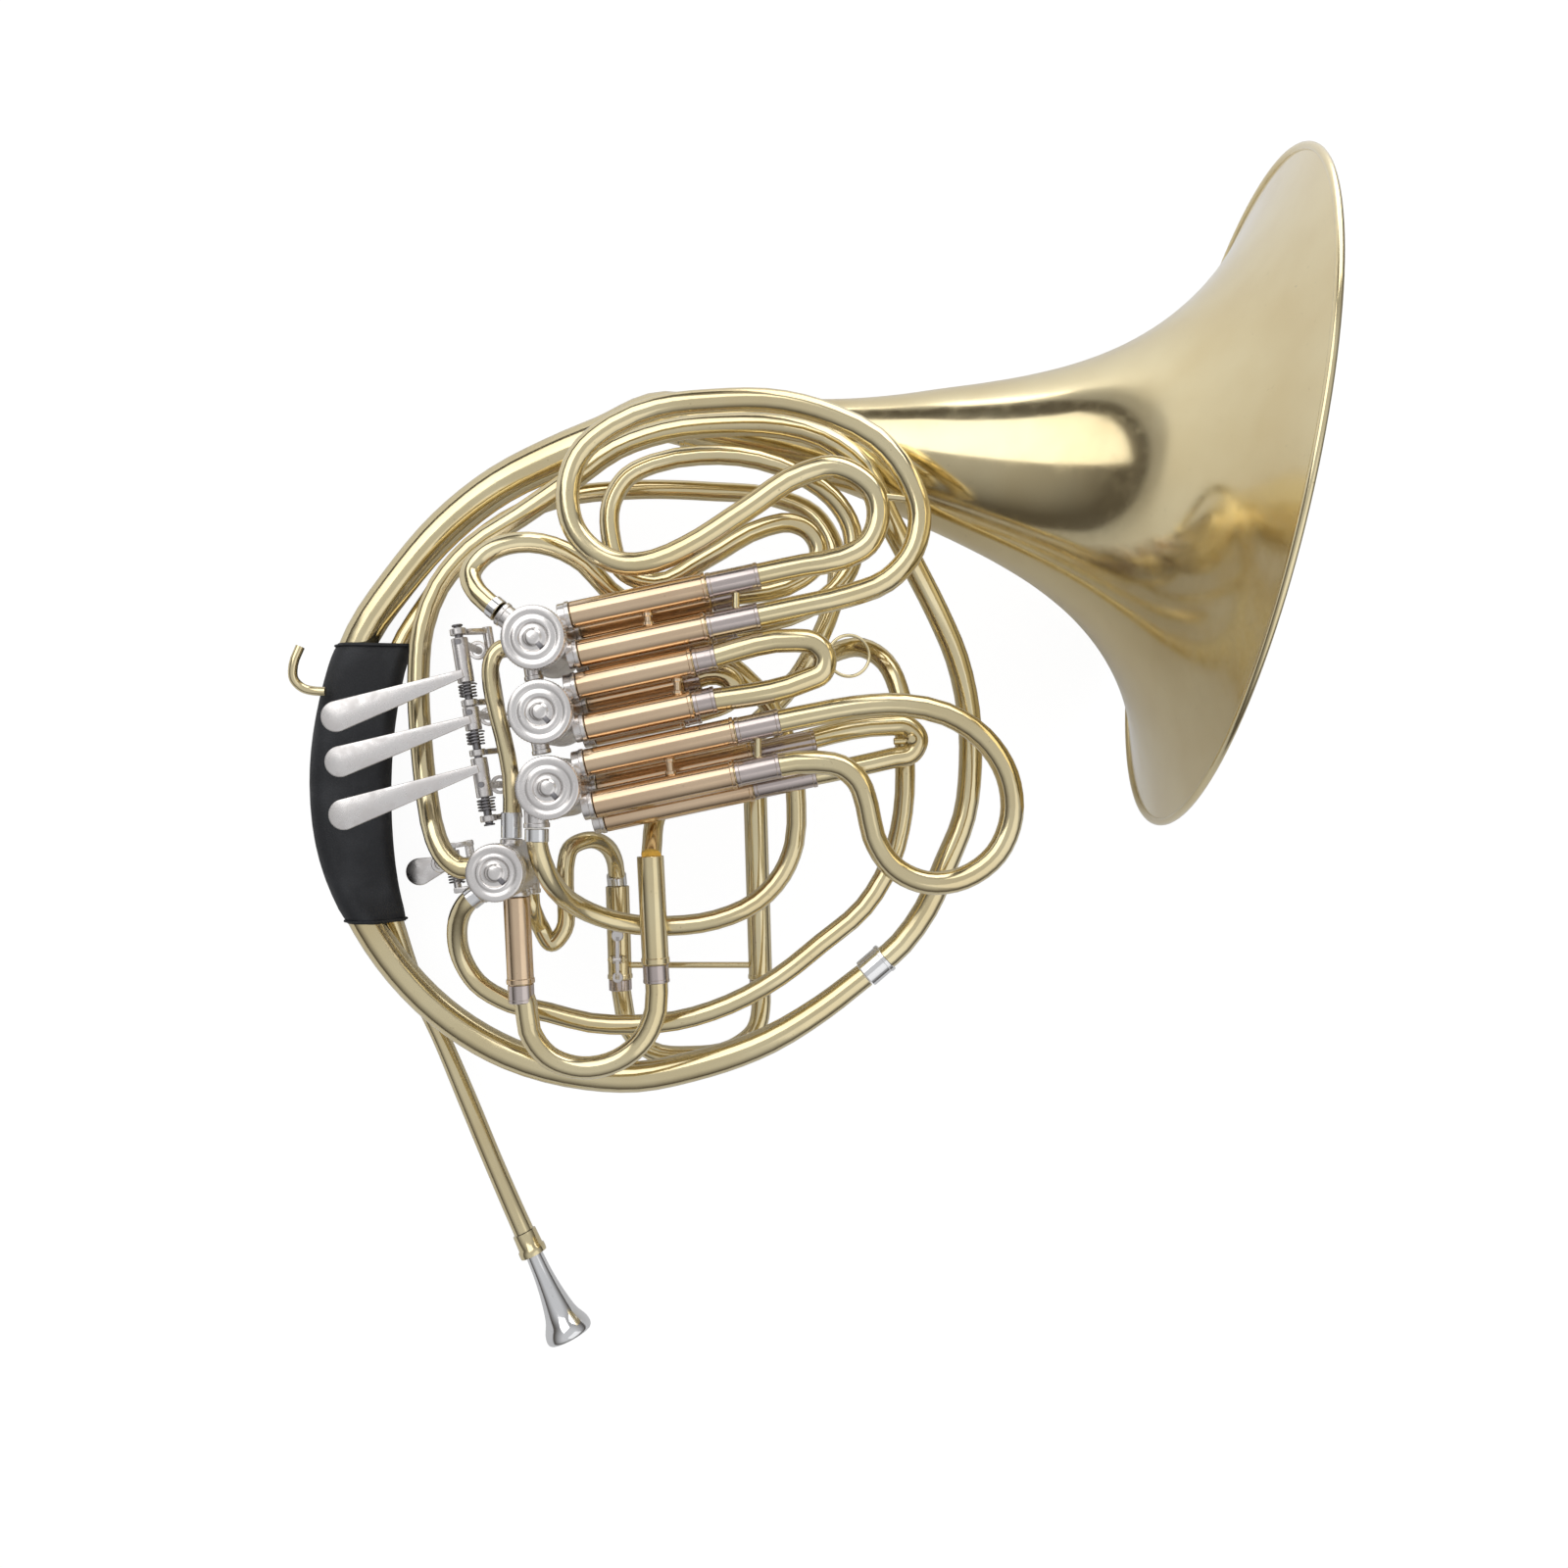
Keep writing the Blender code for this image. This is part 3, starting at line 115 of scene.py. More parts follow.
class Finish:
    # One material's node tree, read in millimetres of the horn's own frame
    def __init__(self, name):
        self.material = bpy.data.materials.new(name)
        self.material.use_nodes = True
        self.tree = self.material.node_tree
        self.shader = self.tree.nodes["Principled BSDF"]
        place = self.node("ShaderNodeTexCoord").outputs["Object"]
        self.place = self.node("ShaderNodeVectorMath", {"operation": "SCALE"}, [place])
        self.place.inputs["Scale"].default_value = 1.0 / mm
        self.place = self.place.outputs[0]

    def node(self, kind, settings=None, values=()):
        made = self.tree.nodes.new(kind)
        for key, setting in (settings or {}).items():
            setattr(made, key, setting)
        pairs = values.items() if isinstance(values, dict) else enumerate(values)
        for key, item in pairs:
            if isinstance(item, Value):
                item = item.socket
            if isinstance(item, bpy.types.NodeSocket):
                self.tree.links.new(item, made.inputs[key])
            else:
                made.inputs[key].default_value = item
        return made

    def noise(self, size, detail=2.0, stretch=(1, 1, 1), roughness=0.5):
        scaled = self.node("ShaderNodeMapping", {}, {"Vector": self.place,
                                                    "Scale": [s / size for s in stretch]})
        made = self.node("ShaderNodeTexNoise", {}, {"Vector": scaled.outputs[0], "Scale": 1.0,
                                                   "Detail": detail, "Roughness": roughness})
        return Value(self.tree, made.outputs["Fac"])

    def mix(self, factor, first, second):
        made = self.node("ShaderNodeMix", {"data_type": "RGBA"})
        for slot, item in ((0, factor), (6, first), (7, second)):
            if isinstance(item, Value):
                item = item.socket
            if isinstance(item, bpy.types.NodeSocket):
                self.tree.links.new(item, made.inputs[slot])
            else:
                made.inputs[slot].default_value = item if slot == 0 else (*item, 1.0)
        return made.outputs[2]

    def set(self, **links):
        for name, item in links.items():
            slot = self.shader.inputs[name.replace("_", " ")]
            if isinstance(item, Value):
                item = item.socket
            if isinstance(item, bpy.types.NodeSocket):
                self.tree.links.new(item, slot)
            else:
                slot.default_value = item

    def bump(self, height, distance, strength=1.0):
        made = self.node("ShaderNodeBump", {}, {"Strength": strength, "Distance": distance * mm,
                                               "Height": height})
        self.tree.links.new(made.outputs[0], self.shader.inputs["Normal"])


metals = {
    "brass": {"pale": (0.84, 0.73, 0.46), "deep": (0.70, 0.55, 0.28), "rough": 0.13},
    "roseBrass": {"pale": (0.82, 0.62, 0.42), "deep": (0.64, 0.43, 0.26), "rough": 0.15},
    "silver": {"pale": (0.90, 0.90, 0.90), "deep": (0.74, 0.74, 0.76), "rough": 0.10},
    "band": {"pale": (0.66, 0.58, 0.55), "deep": (0.46, 0.39, 0.37), "rough": 0.18},
    "nickel": {"pale": (0.84, 0.81, 0.79), "deep": (0.66, 0.62, 0.60), "rough": 0.24},
    "steel": {"pale": (0.30, 0.29, 0.30), "deep": (0.14, 0.13, 0.13), "rough": 0.34},
}


def metalFinish(name, coat=0.0):
    # Slow drift of colour, hand smudges in the gloss, and fine polishing lines
    look = metals[name]
    finish = Finish(name)
    drift = finish.noise(55.0, 3.0).between(0.35, 0.70)
    smudge = finish.noise(16.0, 5.0, roughness=0.65).between(0.45, 0.75)
    lines = finish.noise(0.35, 2.0, stretch=(0.08, 1.0, 1.0))
    specks = finish.noise(1.6, 1.0).between(0.74, 0.80)
    color = finish.mix(drift * 0.55, look["pale"], look["deep"])
    color = finish.mix(specks * 0.35, color, tuple(c * 0.45 for c in look["deep"]))
    finish.set(Base_Color=color, Metallic=1.0,
               Roughness=smudge * 0.10 + lines * 0.05 + (look["rough"] - 0.03))
    finish.bump(lines, 0.006, 0.35)
    if coat:
        finish.set(Coat_Weight=coat)
        finish.shader.inputs["Coat Roughness"].default_value = 0.06
    return finish.material


def wornNickel():
    # Lever paddles: satin plate, duller where fingertips rest
    look = metals["nickel"]
    finish = Finish("paddleNickel")
    brushed = finish.noise(0.5, 2.0, stretch=(0.15, 1.0, 1.0))
    worn = finish.noise(6.0, 4.0).between(0.42, 0.62)
    color = finish.mix(worn * 0.5, look["pale"], look["deep"])
    finish.set(Base_Color=color, Metallic=1.0, Roughness=worn * 0.14 + brushed * 0.10 + 0.18)
    finish.bump(brushed, 0.01, 0.4)
    return finish.material


def leatherFinish():
    finish = Finish("blackLeather")
    cells = finish.node("ShaderNodeTexVoronoi", {"feature": "DISTANCE_TO_EDGE"},
                        {"Vector": finish.place, "Scale": 0.75})
    grain = Value(finish.tree, cells.outputs["Distance"]).between(0.0, 0.22)
    creases = finish.noise(9.0, 6.0, stretch=(1.0, 0.35, 1.0), roughness=0.7)
    worn = finish.noise(22.0, 3.0).between(0.45, 0.75)
    color = finish.mix(worn * 0.6, (0.012, 0.013, 0.016), (0.034, 0.036, 0.042))
    finish.set(Base_Color=color, Roughness=worn * -0.16 + grain * -0.10 + 0.66)
    finish.bump(grain * 0.6 + creases * 0.8, 0.16, 0.6)
    return finish.material


def corkFinish():
    finish = Finish("cork")
    spots = finish.noise(0.9, 3.0).between(0.40, 0.62)
    finish.set(Base_Color=finish.mix(spots, (0.33, 0.20, 0.10), (0.62, 0.43, 0.25)), Roughness=0.85)
    finish.bump(spots, 0.05, 0.5)
    return finish.material


def cordFinish():
    # Braided valve string: light, with the strands' shadows running across it
    finish = Finish("valveString")
    strands = finish.noise(0.45, 1.0, stretch=(1.0, 2.4, 1.0)).between(0.35, 0.65)
    finish.set(Base_Color=finish.mix(strands, (0.42, 0.40, 0.36), (0.80, 0.78, 0.72)), Roughness=0.8)
    finish.bump(strands, 0.05, 0.7)
    return finish.material


finishes = {"brass": metalFinish("brass", coat=0.35), "roseBrass": metalFinish("roseBrass", coat=0.35),
            "silver": metalFinish("silver"), "nickel": metalFinish("nickel"),
            "band": metalFinish("band"),
            "steel": metalFinish("steel"), "paddle": wornNickel(), "leather": leatherFinish(),
            "cork": corkFinish(), "string": cordFinish()}
slots = {"brass": "brass", "roseBrass": "rose_brass", "silver": "silver", "nickel": "nickel_silver",
         "band": "nickel_silver",
         "steel": "spring_steel", "paddle": "nickel_silver", "leather": "leather"}
bodyOf = {node: body for body, nodes in frame["record"]["behaviour"]["bodies"].items()
          for node in nodes}


# Shapes, drawn in millimetres of the horn's own frame

def smoothRoute(points, step=3.0, maxTurn=7.0):
    # The same curve through the same points as the CAD's tubes, read more finely
    knots = [Vector(point) for point in points]
    spans = [(Vector(b[:3]) - Vector(a[:3])).length for a, b in zip(knots, knots[1:])]
    slopes = []
    for i, knot in enumerate(knots):
        if i == 0:
            slopes.append((knots[1] - knot) / spans[0])
        elif i == len(knots) - 1:
            slopes.append((knot - knots[-2]) / spans[-1])
        else:
            before = (knot - knots[i - 1]) / spans[i - 1]
            after = (knots[i + 1] - knot) / spans[i]
            slopes.append((before * spans[i] + after * spans[i - 1]) / (spans[i - 1] + spans[i]))
    route = [knots[0]]
    for i, span in enumerate(spans):
        bend = math.degrees(Vector(slopes[i][:3]).angle(Vector(slopes[i + 1][:3])))
        count = max(2, round(bend / maxTurn), round(span / (3.0 * step)))
        for k in range(1, count + 1):
            t = k / count
            route.append(knots[i] * (2 * t ** 3 - 3 * t ** 2 + 1)
                         + slopes[i] * (span * (t ** 3 - 2 * t ** 2 + t))
                         + knots[i + 1] * (3 * t ** 2 - 2 * t ** 3)
                         + slopes[i + 1] * (span * (t ** 3 - t ** 2)))
    return route


def frameAt(point, zAxis, xHint=Vector((1.0, 0.0, 0.0))):
    zAxis = zAxis.normalized()
    xAxis = xHint - zAxis * xHint.dot(zAxis)
    if xAxis.length < 1e-4:
        xAxis = Vector((0.0, 1.0, 0.0)).cross(zAxis)
    xAxis.normalize()
    axes = Matrix((xAxis, zAxis.cross(xAxis), zAxis)).transposed().to_4x4()
    return Matrix.Translation(Vector(point)) @ axes


class Shape:
    # Collects bodies in one mesh, then places it as a piece of the horn
    def __init__(self):
        self.bm = bmesh.new()

    def rings(self, rings, closed=False, caps=True):
        made = [[self.bm.verts.new(point) for point in ring] for ring in rings]
        pairs = list(zip(made, made[1:]))
        if closed:
            pairs.append((made[-1], made[0]))
        faces = []
        for first, second in pairs:
            count = len(first)
            for k in range(count):
                nextOne = (k + 1) % count
                faces.append(self.bm.faces.new((first[k], first[nextOne], second[nextOne], second[k])))
        if caps and not closed:
            faces.append(self.bm.faces.new(list(reversed(made[0]))))
            faces.append(self.bm.faces.new(made[-1]))
        return faces

    def tube(self, route, radius=None, sides=22, closed=False):
        # Sweeps a circle along a route, carrying its direction without twist
        centres = [Vector(point[:3]) for point in route]
        tangents = []
        for i in range(len(centres)):
            before = centres[max(i - 1, 0)]
            after = centres[min(i + 1, len(centres) - 1)]
            tangents.append((after - before).normalized())
        side = tangents[0].orthogonal().normalized()
        rings = []
        for centre, tangent, point in zip(centres, tangents, route):
            side = (side - tangent * side.dot(tangent)).normalized()
            up = tangent.cross(side)
            size = point[3] if radius is None else radius
            rings.append([centre + side * (math.cos(a) * size) + up * (math.sin(a) * size)
                          for a in (2 * math.pi * k / sides for k in range(sides))])
        self.rings(rings)
        return self

    def turned(self, profile, place, steps=40, closed=True):
        # Turns an outline of (radius, height) round the Z axis of place
        rings = []
        for radius, height in profile:
            rings.append([place @ Vector((math.cos(a) * radius, math.sin(a) * radius, height))
                          for a in (2 * math.pi * k / steps for k in range(steps))])
        self.rings(rings, closed=closed)
        return self

    def bar(self, start, end, radius, sides=22, lip=0.25):
        # A round bar with softly broken edges
        start = Vector(start)
        end = Vector(end)
        length = (end - start).length
        lip = min(lip, radius * 0.4, length * 0.4)
        profile = [(radius - lip, 0.0), (radius, lip), (radius, length - lip), (radius - lip, length)]
        return self.turned(profile, frameAt(start, end - start), sides, closed=False)

    def ring(self, start, end, outer, inner, sides=28, lip=0.3):
        # A hollow sleeve with rounded ends
        start = Vector(start)
        end = Vector(end)
        length = (end - start).length
        profile = [(outer - lip, 0.0), (outer, lip), (outer, length - lip), (outer - lip, length),
                   (inner, length), (inner, 0.0)]
        return self.turned(profile, frameAt(start, end - start), sides)

    def block(self, centre, size, xAxis=Vector((1, 0, 0)), zAxis=Vector((0, 0, 1)), lip=0.3):
        place = frameAt(centre, zAxis, xAxis) @ Matrix.Diagonal((*size, 1.0))
        cube = bmesh.ops.create_cube(self.bm, size=1.0, matrix=place)
        edges = list({e for v in cube["verts"] for e in v.link_edges})
        bmesh.ops.bevel(self.bm, geom=edges, offset=lip, segments=2, affect="EDGES", profile=0.5)
        return self

    def plate(self, outline, level, thickness, lip=0.35):
        # A flat plate with its rim rounded over
        low = [Vector((x, y, level - thickness / 2)) for x, y in outline]
        verts = [self.bm.verts.new(point) for point in low]
        face = self.bm.faces.new(verts)
        out = bmesh.ops.extrude_face_region(self.bm, geom=[face])
        lifted = [v for v in out["geom"] if isinstance(v, bmesh.types.BMVert)]
        bmesh.ops.translate(self.bm, verts=lifted, vec=(0, 0, thickness))
        every = verts + lifted
        rims = [e for e in {e for v in every for e in v.link_edges}
                if abs(e.verts[0].co.z - e.verts[1].co.z) < 1e-6]
        bmesh.ops.bevel(self.bm, geom=rims, offset=lip, segments=3, affect="EDGES", profile=0.5)
        return self

    def place(self, name, finish, body, replaces=(), smooth=40.0):
        bmesh.ops.recalc_face_normals(self.bm, faces=self.bm.faces)
        bmesh.ops.transform(self.bm, matrix=hornPlace @ Matrix.Scale(mm, 4), verts=self.bm.verts)
        mesh = bpy.data.meshes.new(name)
        self.bm.to_mesh(mesh)
        self.bm.free()
        mesh.materials.append(finishes[finish])
        mesh.shade_smooth()
        mesh.set_sharp_from_angle(angle=math.radians(smooth))
        piece = bpy.data.objects.new(name, mesh)
        bpy.context.scene.collection.objects.link(piece)
        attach(piece, body)
        if replaces:
            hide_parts(*replaces)
        finish in slots
        return piece


def pieceFor(node, shape, finish, name=None):
    return shape.place(name or node + "_piece", finish, bodyOf[node], (node,))


# Bell and the tube that it grows out of
bell = {"centre": Vector((208.5, 137.6, 0.0)), "axis": Vector((0.985, -0.165, 0.052)).normalized(),
        "outline": [(4, 144.0), (9, 129.0), (16, 112.8), (25, 97.3), (38, 81.3), (55, 66.8),
                    (75, 55.0), (95, 46.5), (117, 39.2), (139, 33.0), (160, 27.0), (182, 22.0),
                    (205, 18.4), (232, 15.2), (262, 12.9)],
        "rim": 158.1, "wall": 0.9, "wire": 1.85, "steps": 144}


def bellCurve():
    # Flare outline read finely between its points
    points = [(back, radius, 0.0) for back, radius in [(0.2, bell["rim"] - 1.0), *bell["outline"]]]
    return [(p[1], -p[0]) for p in smoothRoute(points, step=1.6, maxTurn=4.0)]


def makeBell():
    outer = bellCurve()
    inner = [(radius - bell["wall"], height) for radius, height in reversed(outer)]
    shape = Shape()
    place = frameAt(bell["centre"], bell["axis"])
    shape.turned(outer + inner, place, bell["steps"])
    bead = []
    for k in range(14):
        angle = 2 * math.pi * k / 14
        bead.append((bell["rim"] + math.cos(angle) * bell["wire"], math.sin(angle) * bell["wire"]))
    shape.turned(bead, place, bell["steps"])
    piece = pieceFor("bell", shape, "brass", "bellFlare")
    seam = Shape()
    seamEnd = bell["centre"] - bell["axis"] * 262.0
    seam.ring(seamEnd, seamEnd + bell["axis"] * 3.0, 13.7, 12.7, 40)
    seam.place("bellSeamBand", "brass", "horn")
    return piece


def tailRoute():
    start = bell["centre"] - bell["axis"] * 262.3
    second = start - bell["axis"] * 9.0
    return [(*start, 12.9), (*second, 12.4), (-90, 172.5, -18, 11.1), (-115, 163, -19, 10.4),
            (-142, 150, -20, 9.7), (-169, 129, -20, 9.3), (-194, 100, -20, 8.9),
            (-211, 75, -20, 8.6), (-222, 42, -20, 8.4), (-227, 0, -20, 8.3),
            (-222, -39, -20, 8.2), (-208, -71, -20, 8.2), (-192, -94, -20, 8.1),
            (-172, -114, -20, 8.0), (-137, -135, -19, 8.0), (-98, -145, -18, 7.9),
            (-73, -146, -17, 7.7), (-47, -141, -16, 7.5), (-7, -127, -15, 7.0),
            (19, -111, -14, 6.5), (40.0, -94.7, -13, 6.1)]


# Tubes that are only bent, with the CAD node that each stands for
mouthStart = Vector((-134.0, -231.0, -40.0))
mouthDir = Vector((0.425, -0.903, 0.06)).normalized()
mainDown = Vector((0.05, -1.0, 0.0)).normalized()
mainSlide = {"left": Vector((-126.8, -53.6, 17.0)), "right": Vector((-63.4, -34.2, 17.0)),
             "leftLength": 41.0, "rightLength": 51.0}


def leadpipeRoute():
    end = mouthStart - mouthDir * 0.4
    back = mouthStart - mouthDir * 14.0
    return [(*end, 5.2), (*back, 5.1), (-151, -196, -45, 5.0), (-166, -163, -49, 5.0),
            (-180, -131, -50, 4.6), (-192, -104, -47, 4.5), (-197, -80, -36, 4.8),
            (-201, -50, -23, 4.8), (-203, -20, -19, 4.8), (-203, 10, -19, 4.8),
            (-200, 39, -19, 4.8), (-194, 65, -20, 4.8), (-180, 92, -26, 4.8),
            (-164, 115, -29, 4.8), (-142, 134, -31, 4.8), (-115, 145, -30, 4.8),
            (-79, 149, -28, 4.8), (-36, 148, -27, 4.8), (-5, 145, -27, 4.8),
            (15, 136, -25, 4.8), (25, 120, -22, 4.8), (26, 98, -17, 4.8), (17, 71, -13, 4.8),
            (0, 44, -12, 4.8), (-27, 19, -11, 4.8), (-48, 2, -8, 4.8), (-60, -10, -3, 4.8),
            (-63, -20, 4, 4.8), (-63, -28, 11, 4.8), (-63, -33.7, 16, 4.8)]


branchRoute = [
    (40.5, -94.2, -13), (58, -79, -12), (70, -62, -11), (80, -39, -10), (89, -16, -10),
    (92, 9, -10), (91, 36, -10), (85, 62, -8), (75, 84, -4), (62, 107, 3),
    (49, 129, 11), (37, 150, 17), (19, 164, 17), (0, 170, 14), (-28, 172, 10),
    (-57, 170, 6), (-81, 163, 2), (-105, 147, -1), (-129, 131, -3), (-153, 115, -3),
    (-168, 96, 0), (-175, 76, 2), (-177, 52, 3), (-175, 19, 5), (-171, -9, 8),
    (-166, -26, 13), (-160, -35.5, 15.5), (-153, -39.9, 16), (-148, -39.9, 16)]
branchRadii = [6.1] * 4 + [5.8] * 8 + [5.6] * 8 + [5.3] * 9
bentTubes = {
    "f_branch": {"radius": 4.9, "route": [
        (-145.25, -51.95, 16), (-149.2, -55, 16), (-154.6, -62, 12), (-157.6, -72, 6),
        (-157, -84, 0), (-150, -97, -3), (-134, -107, -4), (-115, -112, -5), (-95, -117, -5),
        (-74, -118, -5), (-53, -116, -5), (-27, -108, -5), (-2, -94, -4), (18, -78, -3),
        (39, -60, -2), (52, -38, -2), (58, -14, -2), (59, 14, -2), (57, 43, -4), (50, 60, -9),
        (39, 68, -17), (24, 66, -28), (7, 55, -38), (-8, 38, -44), (-14.5, 22, -45),
        (-15.6, 8.3, -45)]},
    "f_feed_tube": {"radius": 4.3, "route": [
        (-122.58, -53.3, 3.4), (-122.3, -57.8, 3.4), (-121.4, -64, -1.5), (-120, -70, -8),
        (-114.5, -78.5, -9), (-108.5, -72, -9), (-107.5, -58, -9), (-108, -42, -10),
        (-106, -32, -13), (-98, -28, -20), (-90, -32, -31), (-87, -41, -40),
        (-86.6, -52.3, -45)]},
    "valve_link_tube": {"radius": 4.9, "route": [
        (-113, -20.5, 40), (-113, -26, 40), (-111, -36, 37.5), (-106, -49, 28), (-97, -59, 14),
        (-79, -67, 3), (-56, -69, 0), (-33, -66, 0), (-13, -57, 0), (-1, -44, 0),
        (5, -29, 0), (6, -10, 1), (3, 14, 3), (-7, 38, 3), (-29, 60, 3), (-52, 74, 3),
        (-71, 84, 5), (-84, 93, 9), (-95, 105, 14), (-109, 112, 20), (-125, 113, 25),
        (-139, 107, 29), (-145, 97, 33), (-140, 87, 38), (-130.2, 78.9, 40)]},
    "riser_tube": {"radius": 4.0, "route": [
        (-126.6, -25.1, 30), (-126.6, -18, 30), (-127, 4, 30), (-130.5, 22, 30),
        (-135, 40, 30), (-136.4, 50, 30), (-135.8, 57, 30), (-133.4, 61.3, 30),
        (-130.9, 63.1, 30), (-128.45, 63.5, 30)]},
}
# Silver ferrules on them: the route's index where each starts, its length and how far it stands proud
ferrules = {"f_branch": [(0, 5.0, 0.5), (-1, 7.0, 0.8)], "f_feed_tube": [(-1, 6.0, 0.8)],
            "valve_link_tube": [(0, 6.0, 0.6), (-1, 4.5, 0.5)], "riser_tube": [(0, 12.0, 0.8)]}


def makeBentTubes():
    for node, tube in bentTubes.items():
        pieceFor(node, Shape().tube(smoothRoute(tube["route"]), tube["radius"]), "brass")
        for k, (index, length, proud) in enumerate(ferrules[node]):
            route = tube["route"] if index == 0 else tube["route"][::-1]
            start = Vector(route[0])
            along = (Vector(route[1]) - start).normalized()
            shape = Shape().ring(start, start + along * length, tube["radius"] + proud,
                                 tube["radius"] - 0.2)
            shape.place(node + "_ferrule_%d" % k, "silver", "horn")
    route = [(*point, radius) for point, radius in zip(branchRoute, branchRadii)]
    pieceFor("first_branch", Shape().tube(smoothRoute(route)), "brass")
    start = Vector(branchRoute[0])
    along = (Vector(branchRoute[1]) - start).normalized()
    shape = Shape().ring(start, start + along * 12.0, 7.2, 5.6, 36)
    shape.ring(start + along * 11.0, start + along * 13.2, 7.6, 5.6, 36)
    shape.place("branch_ferrule", "silver", "horn")
    pieceFor("bell_tail", Shape().tube(smoothRoute(tailRoute(), maxTurn=5.0), sides=36), "brass")
    shape = Shape().tube(smoothRoute(leadpipeRoute()))
    pieceFor("leadpipe", shape, "brass")
    right = mainSlide["right"]
    rightEnd = right + mainDown * mainSlide["rightLength"]
    shape = Shape().ring(right + mainDown * 4.0, rightEnd, 6.4, 5.7)
    shape.bar(right, right + mainDown * 4.5, 6.4)
    shape.ring(rightEnd - mainDown * 3.0, rightEnd, 6.8, 5.7)
    shape.place("main_sleeve_right", "brass", "horn")


# Receiver and mouthpiece
def makeMouthEnd():
    place = frameAt(mouthStart, mouthDir)
    profile = [(6.1, 0.0), (6.3, 8.0), (7.0, 8.8), (7.05, 10.6), (6.9, 12.2), (6.4, 12.4),
               (4.8, 12.4), (4.4, 0.0)]
    pieceFor("mouthpiece_receiver", Shape().turned(profile, place, 44), "brass")
    outer = [(3.7, 2.0), (4.3, 12.8), (4.9, 24.0), (6.4, 36.0), (8.6, 46.0), (11.8, 53.6),
             (11.95, 55.2), (11.6, 56.8), (11.0, 57.5)]
    inner = [(10.2, 57.6), (9.5, 57.2), (8.8, 55.6), (7.8, 51.5), (6.4, 48.0), (4.6, 44.0),
             (3.2, 41.0), (1.9, 36.0), (2.2, 2.0)]
    fine = [(p[0], p[1]) for p in smoothRoute([(r, h, 0.0) for r, h in outer], step=0.5, maxTurn=9.0)]
    fineInner = [(p[0], p[1]) for p in smoothRoute([(r, h, 0.0) for r, h in inner], step=0.5,
                                                   maxTurn=9.0)]
    pieceFor("mouthpiece", Shape().turned(fine + fineInner, place, 56), "silver")


# Leather guard: one skin drawn round the tail and the leadpipe
guard = {"top": 70.0, "bottom": -69.5, "thickness": 1.9, "stations": 40, "arc": 18}


def pointAtY(route, y):
    for a, b in zip(route, route[1:]):
        if (a.y - y) * (b.y - y) <= 0 and abs(a.y - b.y) > 1e-6:
            return a.lerp(b, (a.y - y) / (a.y - b.y))
    raise ValueError("no point at that height")


def guardSection(y, extra):
    # Outline round both tubes where the guard passes a height, seen along Y
    tail = pointAtY([p for p in smoothRoute(tailRoute()) if p[0] < -150], y)
    lead = pointAtY([p for p in smoothRoute(leadpipeRoute()) if p[0] < -160], y)
    big = tail[3] + extra
    small = lead[3] + extra
    tilt = math.atan2(lead.z - tail.z, lead.x - tail.x)
    apart = math.hypot(lead.x - tail.x, lead.z - tail.z)
    lean = math.acos((big - small) / apart)
    ring = []
    for k in range(guard["arc"] + 1):
        angle = tilt + lean + (2 * math.pi - 2 * lean) * k / guard["arc"]
        ring.append(Vector((tail.x + math.cos(angle) * big, y, tail.z + math.sin(angle) * big)))
    for k in range(guard["arc"] + 1):
        angle = tilt - lean + 2 * lean * k / guard["arc"]
        ring.append(Vector((lead.x + math.cos(angle) * small, y, lead.z + math.sin(angle) * small)))
    return ring


def makeGuard():
    rings = []
    for k in range(guard["stations"] + 1):
        share = k / guard["stations"]
        y = guard["top"] + (guard["bottom"] - guard["top"]) * share
        edge = min(share, 1 - share) * guard["stations"]
        rings.append(guardSection(y, guard["thickness"] - 0.7 * max(0.0, 1.0 - edge / 1.5)))
    shape = Shape()
    shape.rings(rings)
    pieceFor("hand_guard", shape, "leather", "leatherGuard")
    for name, y in (("guardTopBinding", guard["top"] - 1.2), ("guardBottomBinding", guard["bottom"] + 1.2)):
        ring = guardSection(y, guard["thickness"] + 0.1)
        band = Shape()
        band.tube([*ring, ring[0]], 0.55, 8)
        band.place(name, "leather", "horn")


def geometryTree(name, inputs):
    tree = bpy.data.node_groups.new(name, "GeometryNodeTree")
    for label, kind in inputs:
        tree.interface.new_socket(label, in_out="INPUT", socket_type=kind)
    tree.interface.new_socket("Geometry", in_out="OUTPUT", socket_type="NodeSocketGeometry")
    return tree, tree.nodes.new("NodeGroupInput"), tree.nodes.new("NodeGroupOutput")


def endTree(tree, instances, leave, finish, links):
    # Makes the instances real, paints them and joins up the tree
    realize = tree.nodes.new("GeometryNodeRealizeInstances")
    paint = tree.nodes.new("GeometryNodeSetMaterial")
    paint.inputs["Material"].default_value = finishes[finish]
    for first, second in [*links, (instances, realize.inputs[0]),
                          (realize.outputs[0], paint.inputs[0]), (paint.outputs[0], leave.inputs[0])]:
        tree.links.new(first, second)


def plainFromTree(carrier, tree, wanted, place=Matrix()):
    # Sets the tree's inputs, takes its result as a plain mesh and lets it ride on the horn
    bpy.context.scene.collection.objects.link(carrier)
    modifier = carrier.modifiers.new(tree.name, "NODES")
    modifier.node_group = tree
    for item in tree.interface.items_tree:
        if item.in_out == "INPUT" and item.name in wanted:
            modifier[item.identifier] = wanted[item.name]
    plain = bpy.data.meshes.new_from_object(carrier.evaluated_get(bpy.context.evaluated_depsgraph_get()))
    carrier.modifiers.clear()
    plain.transform(place)
    plain.shade_smooth()
    carrier.data = plain
    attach(carrier, "horn")


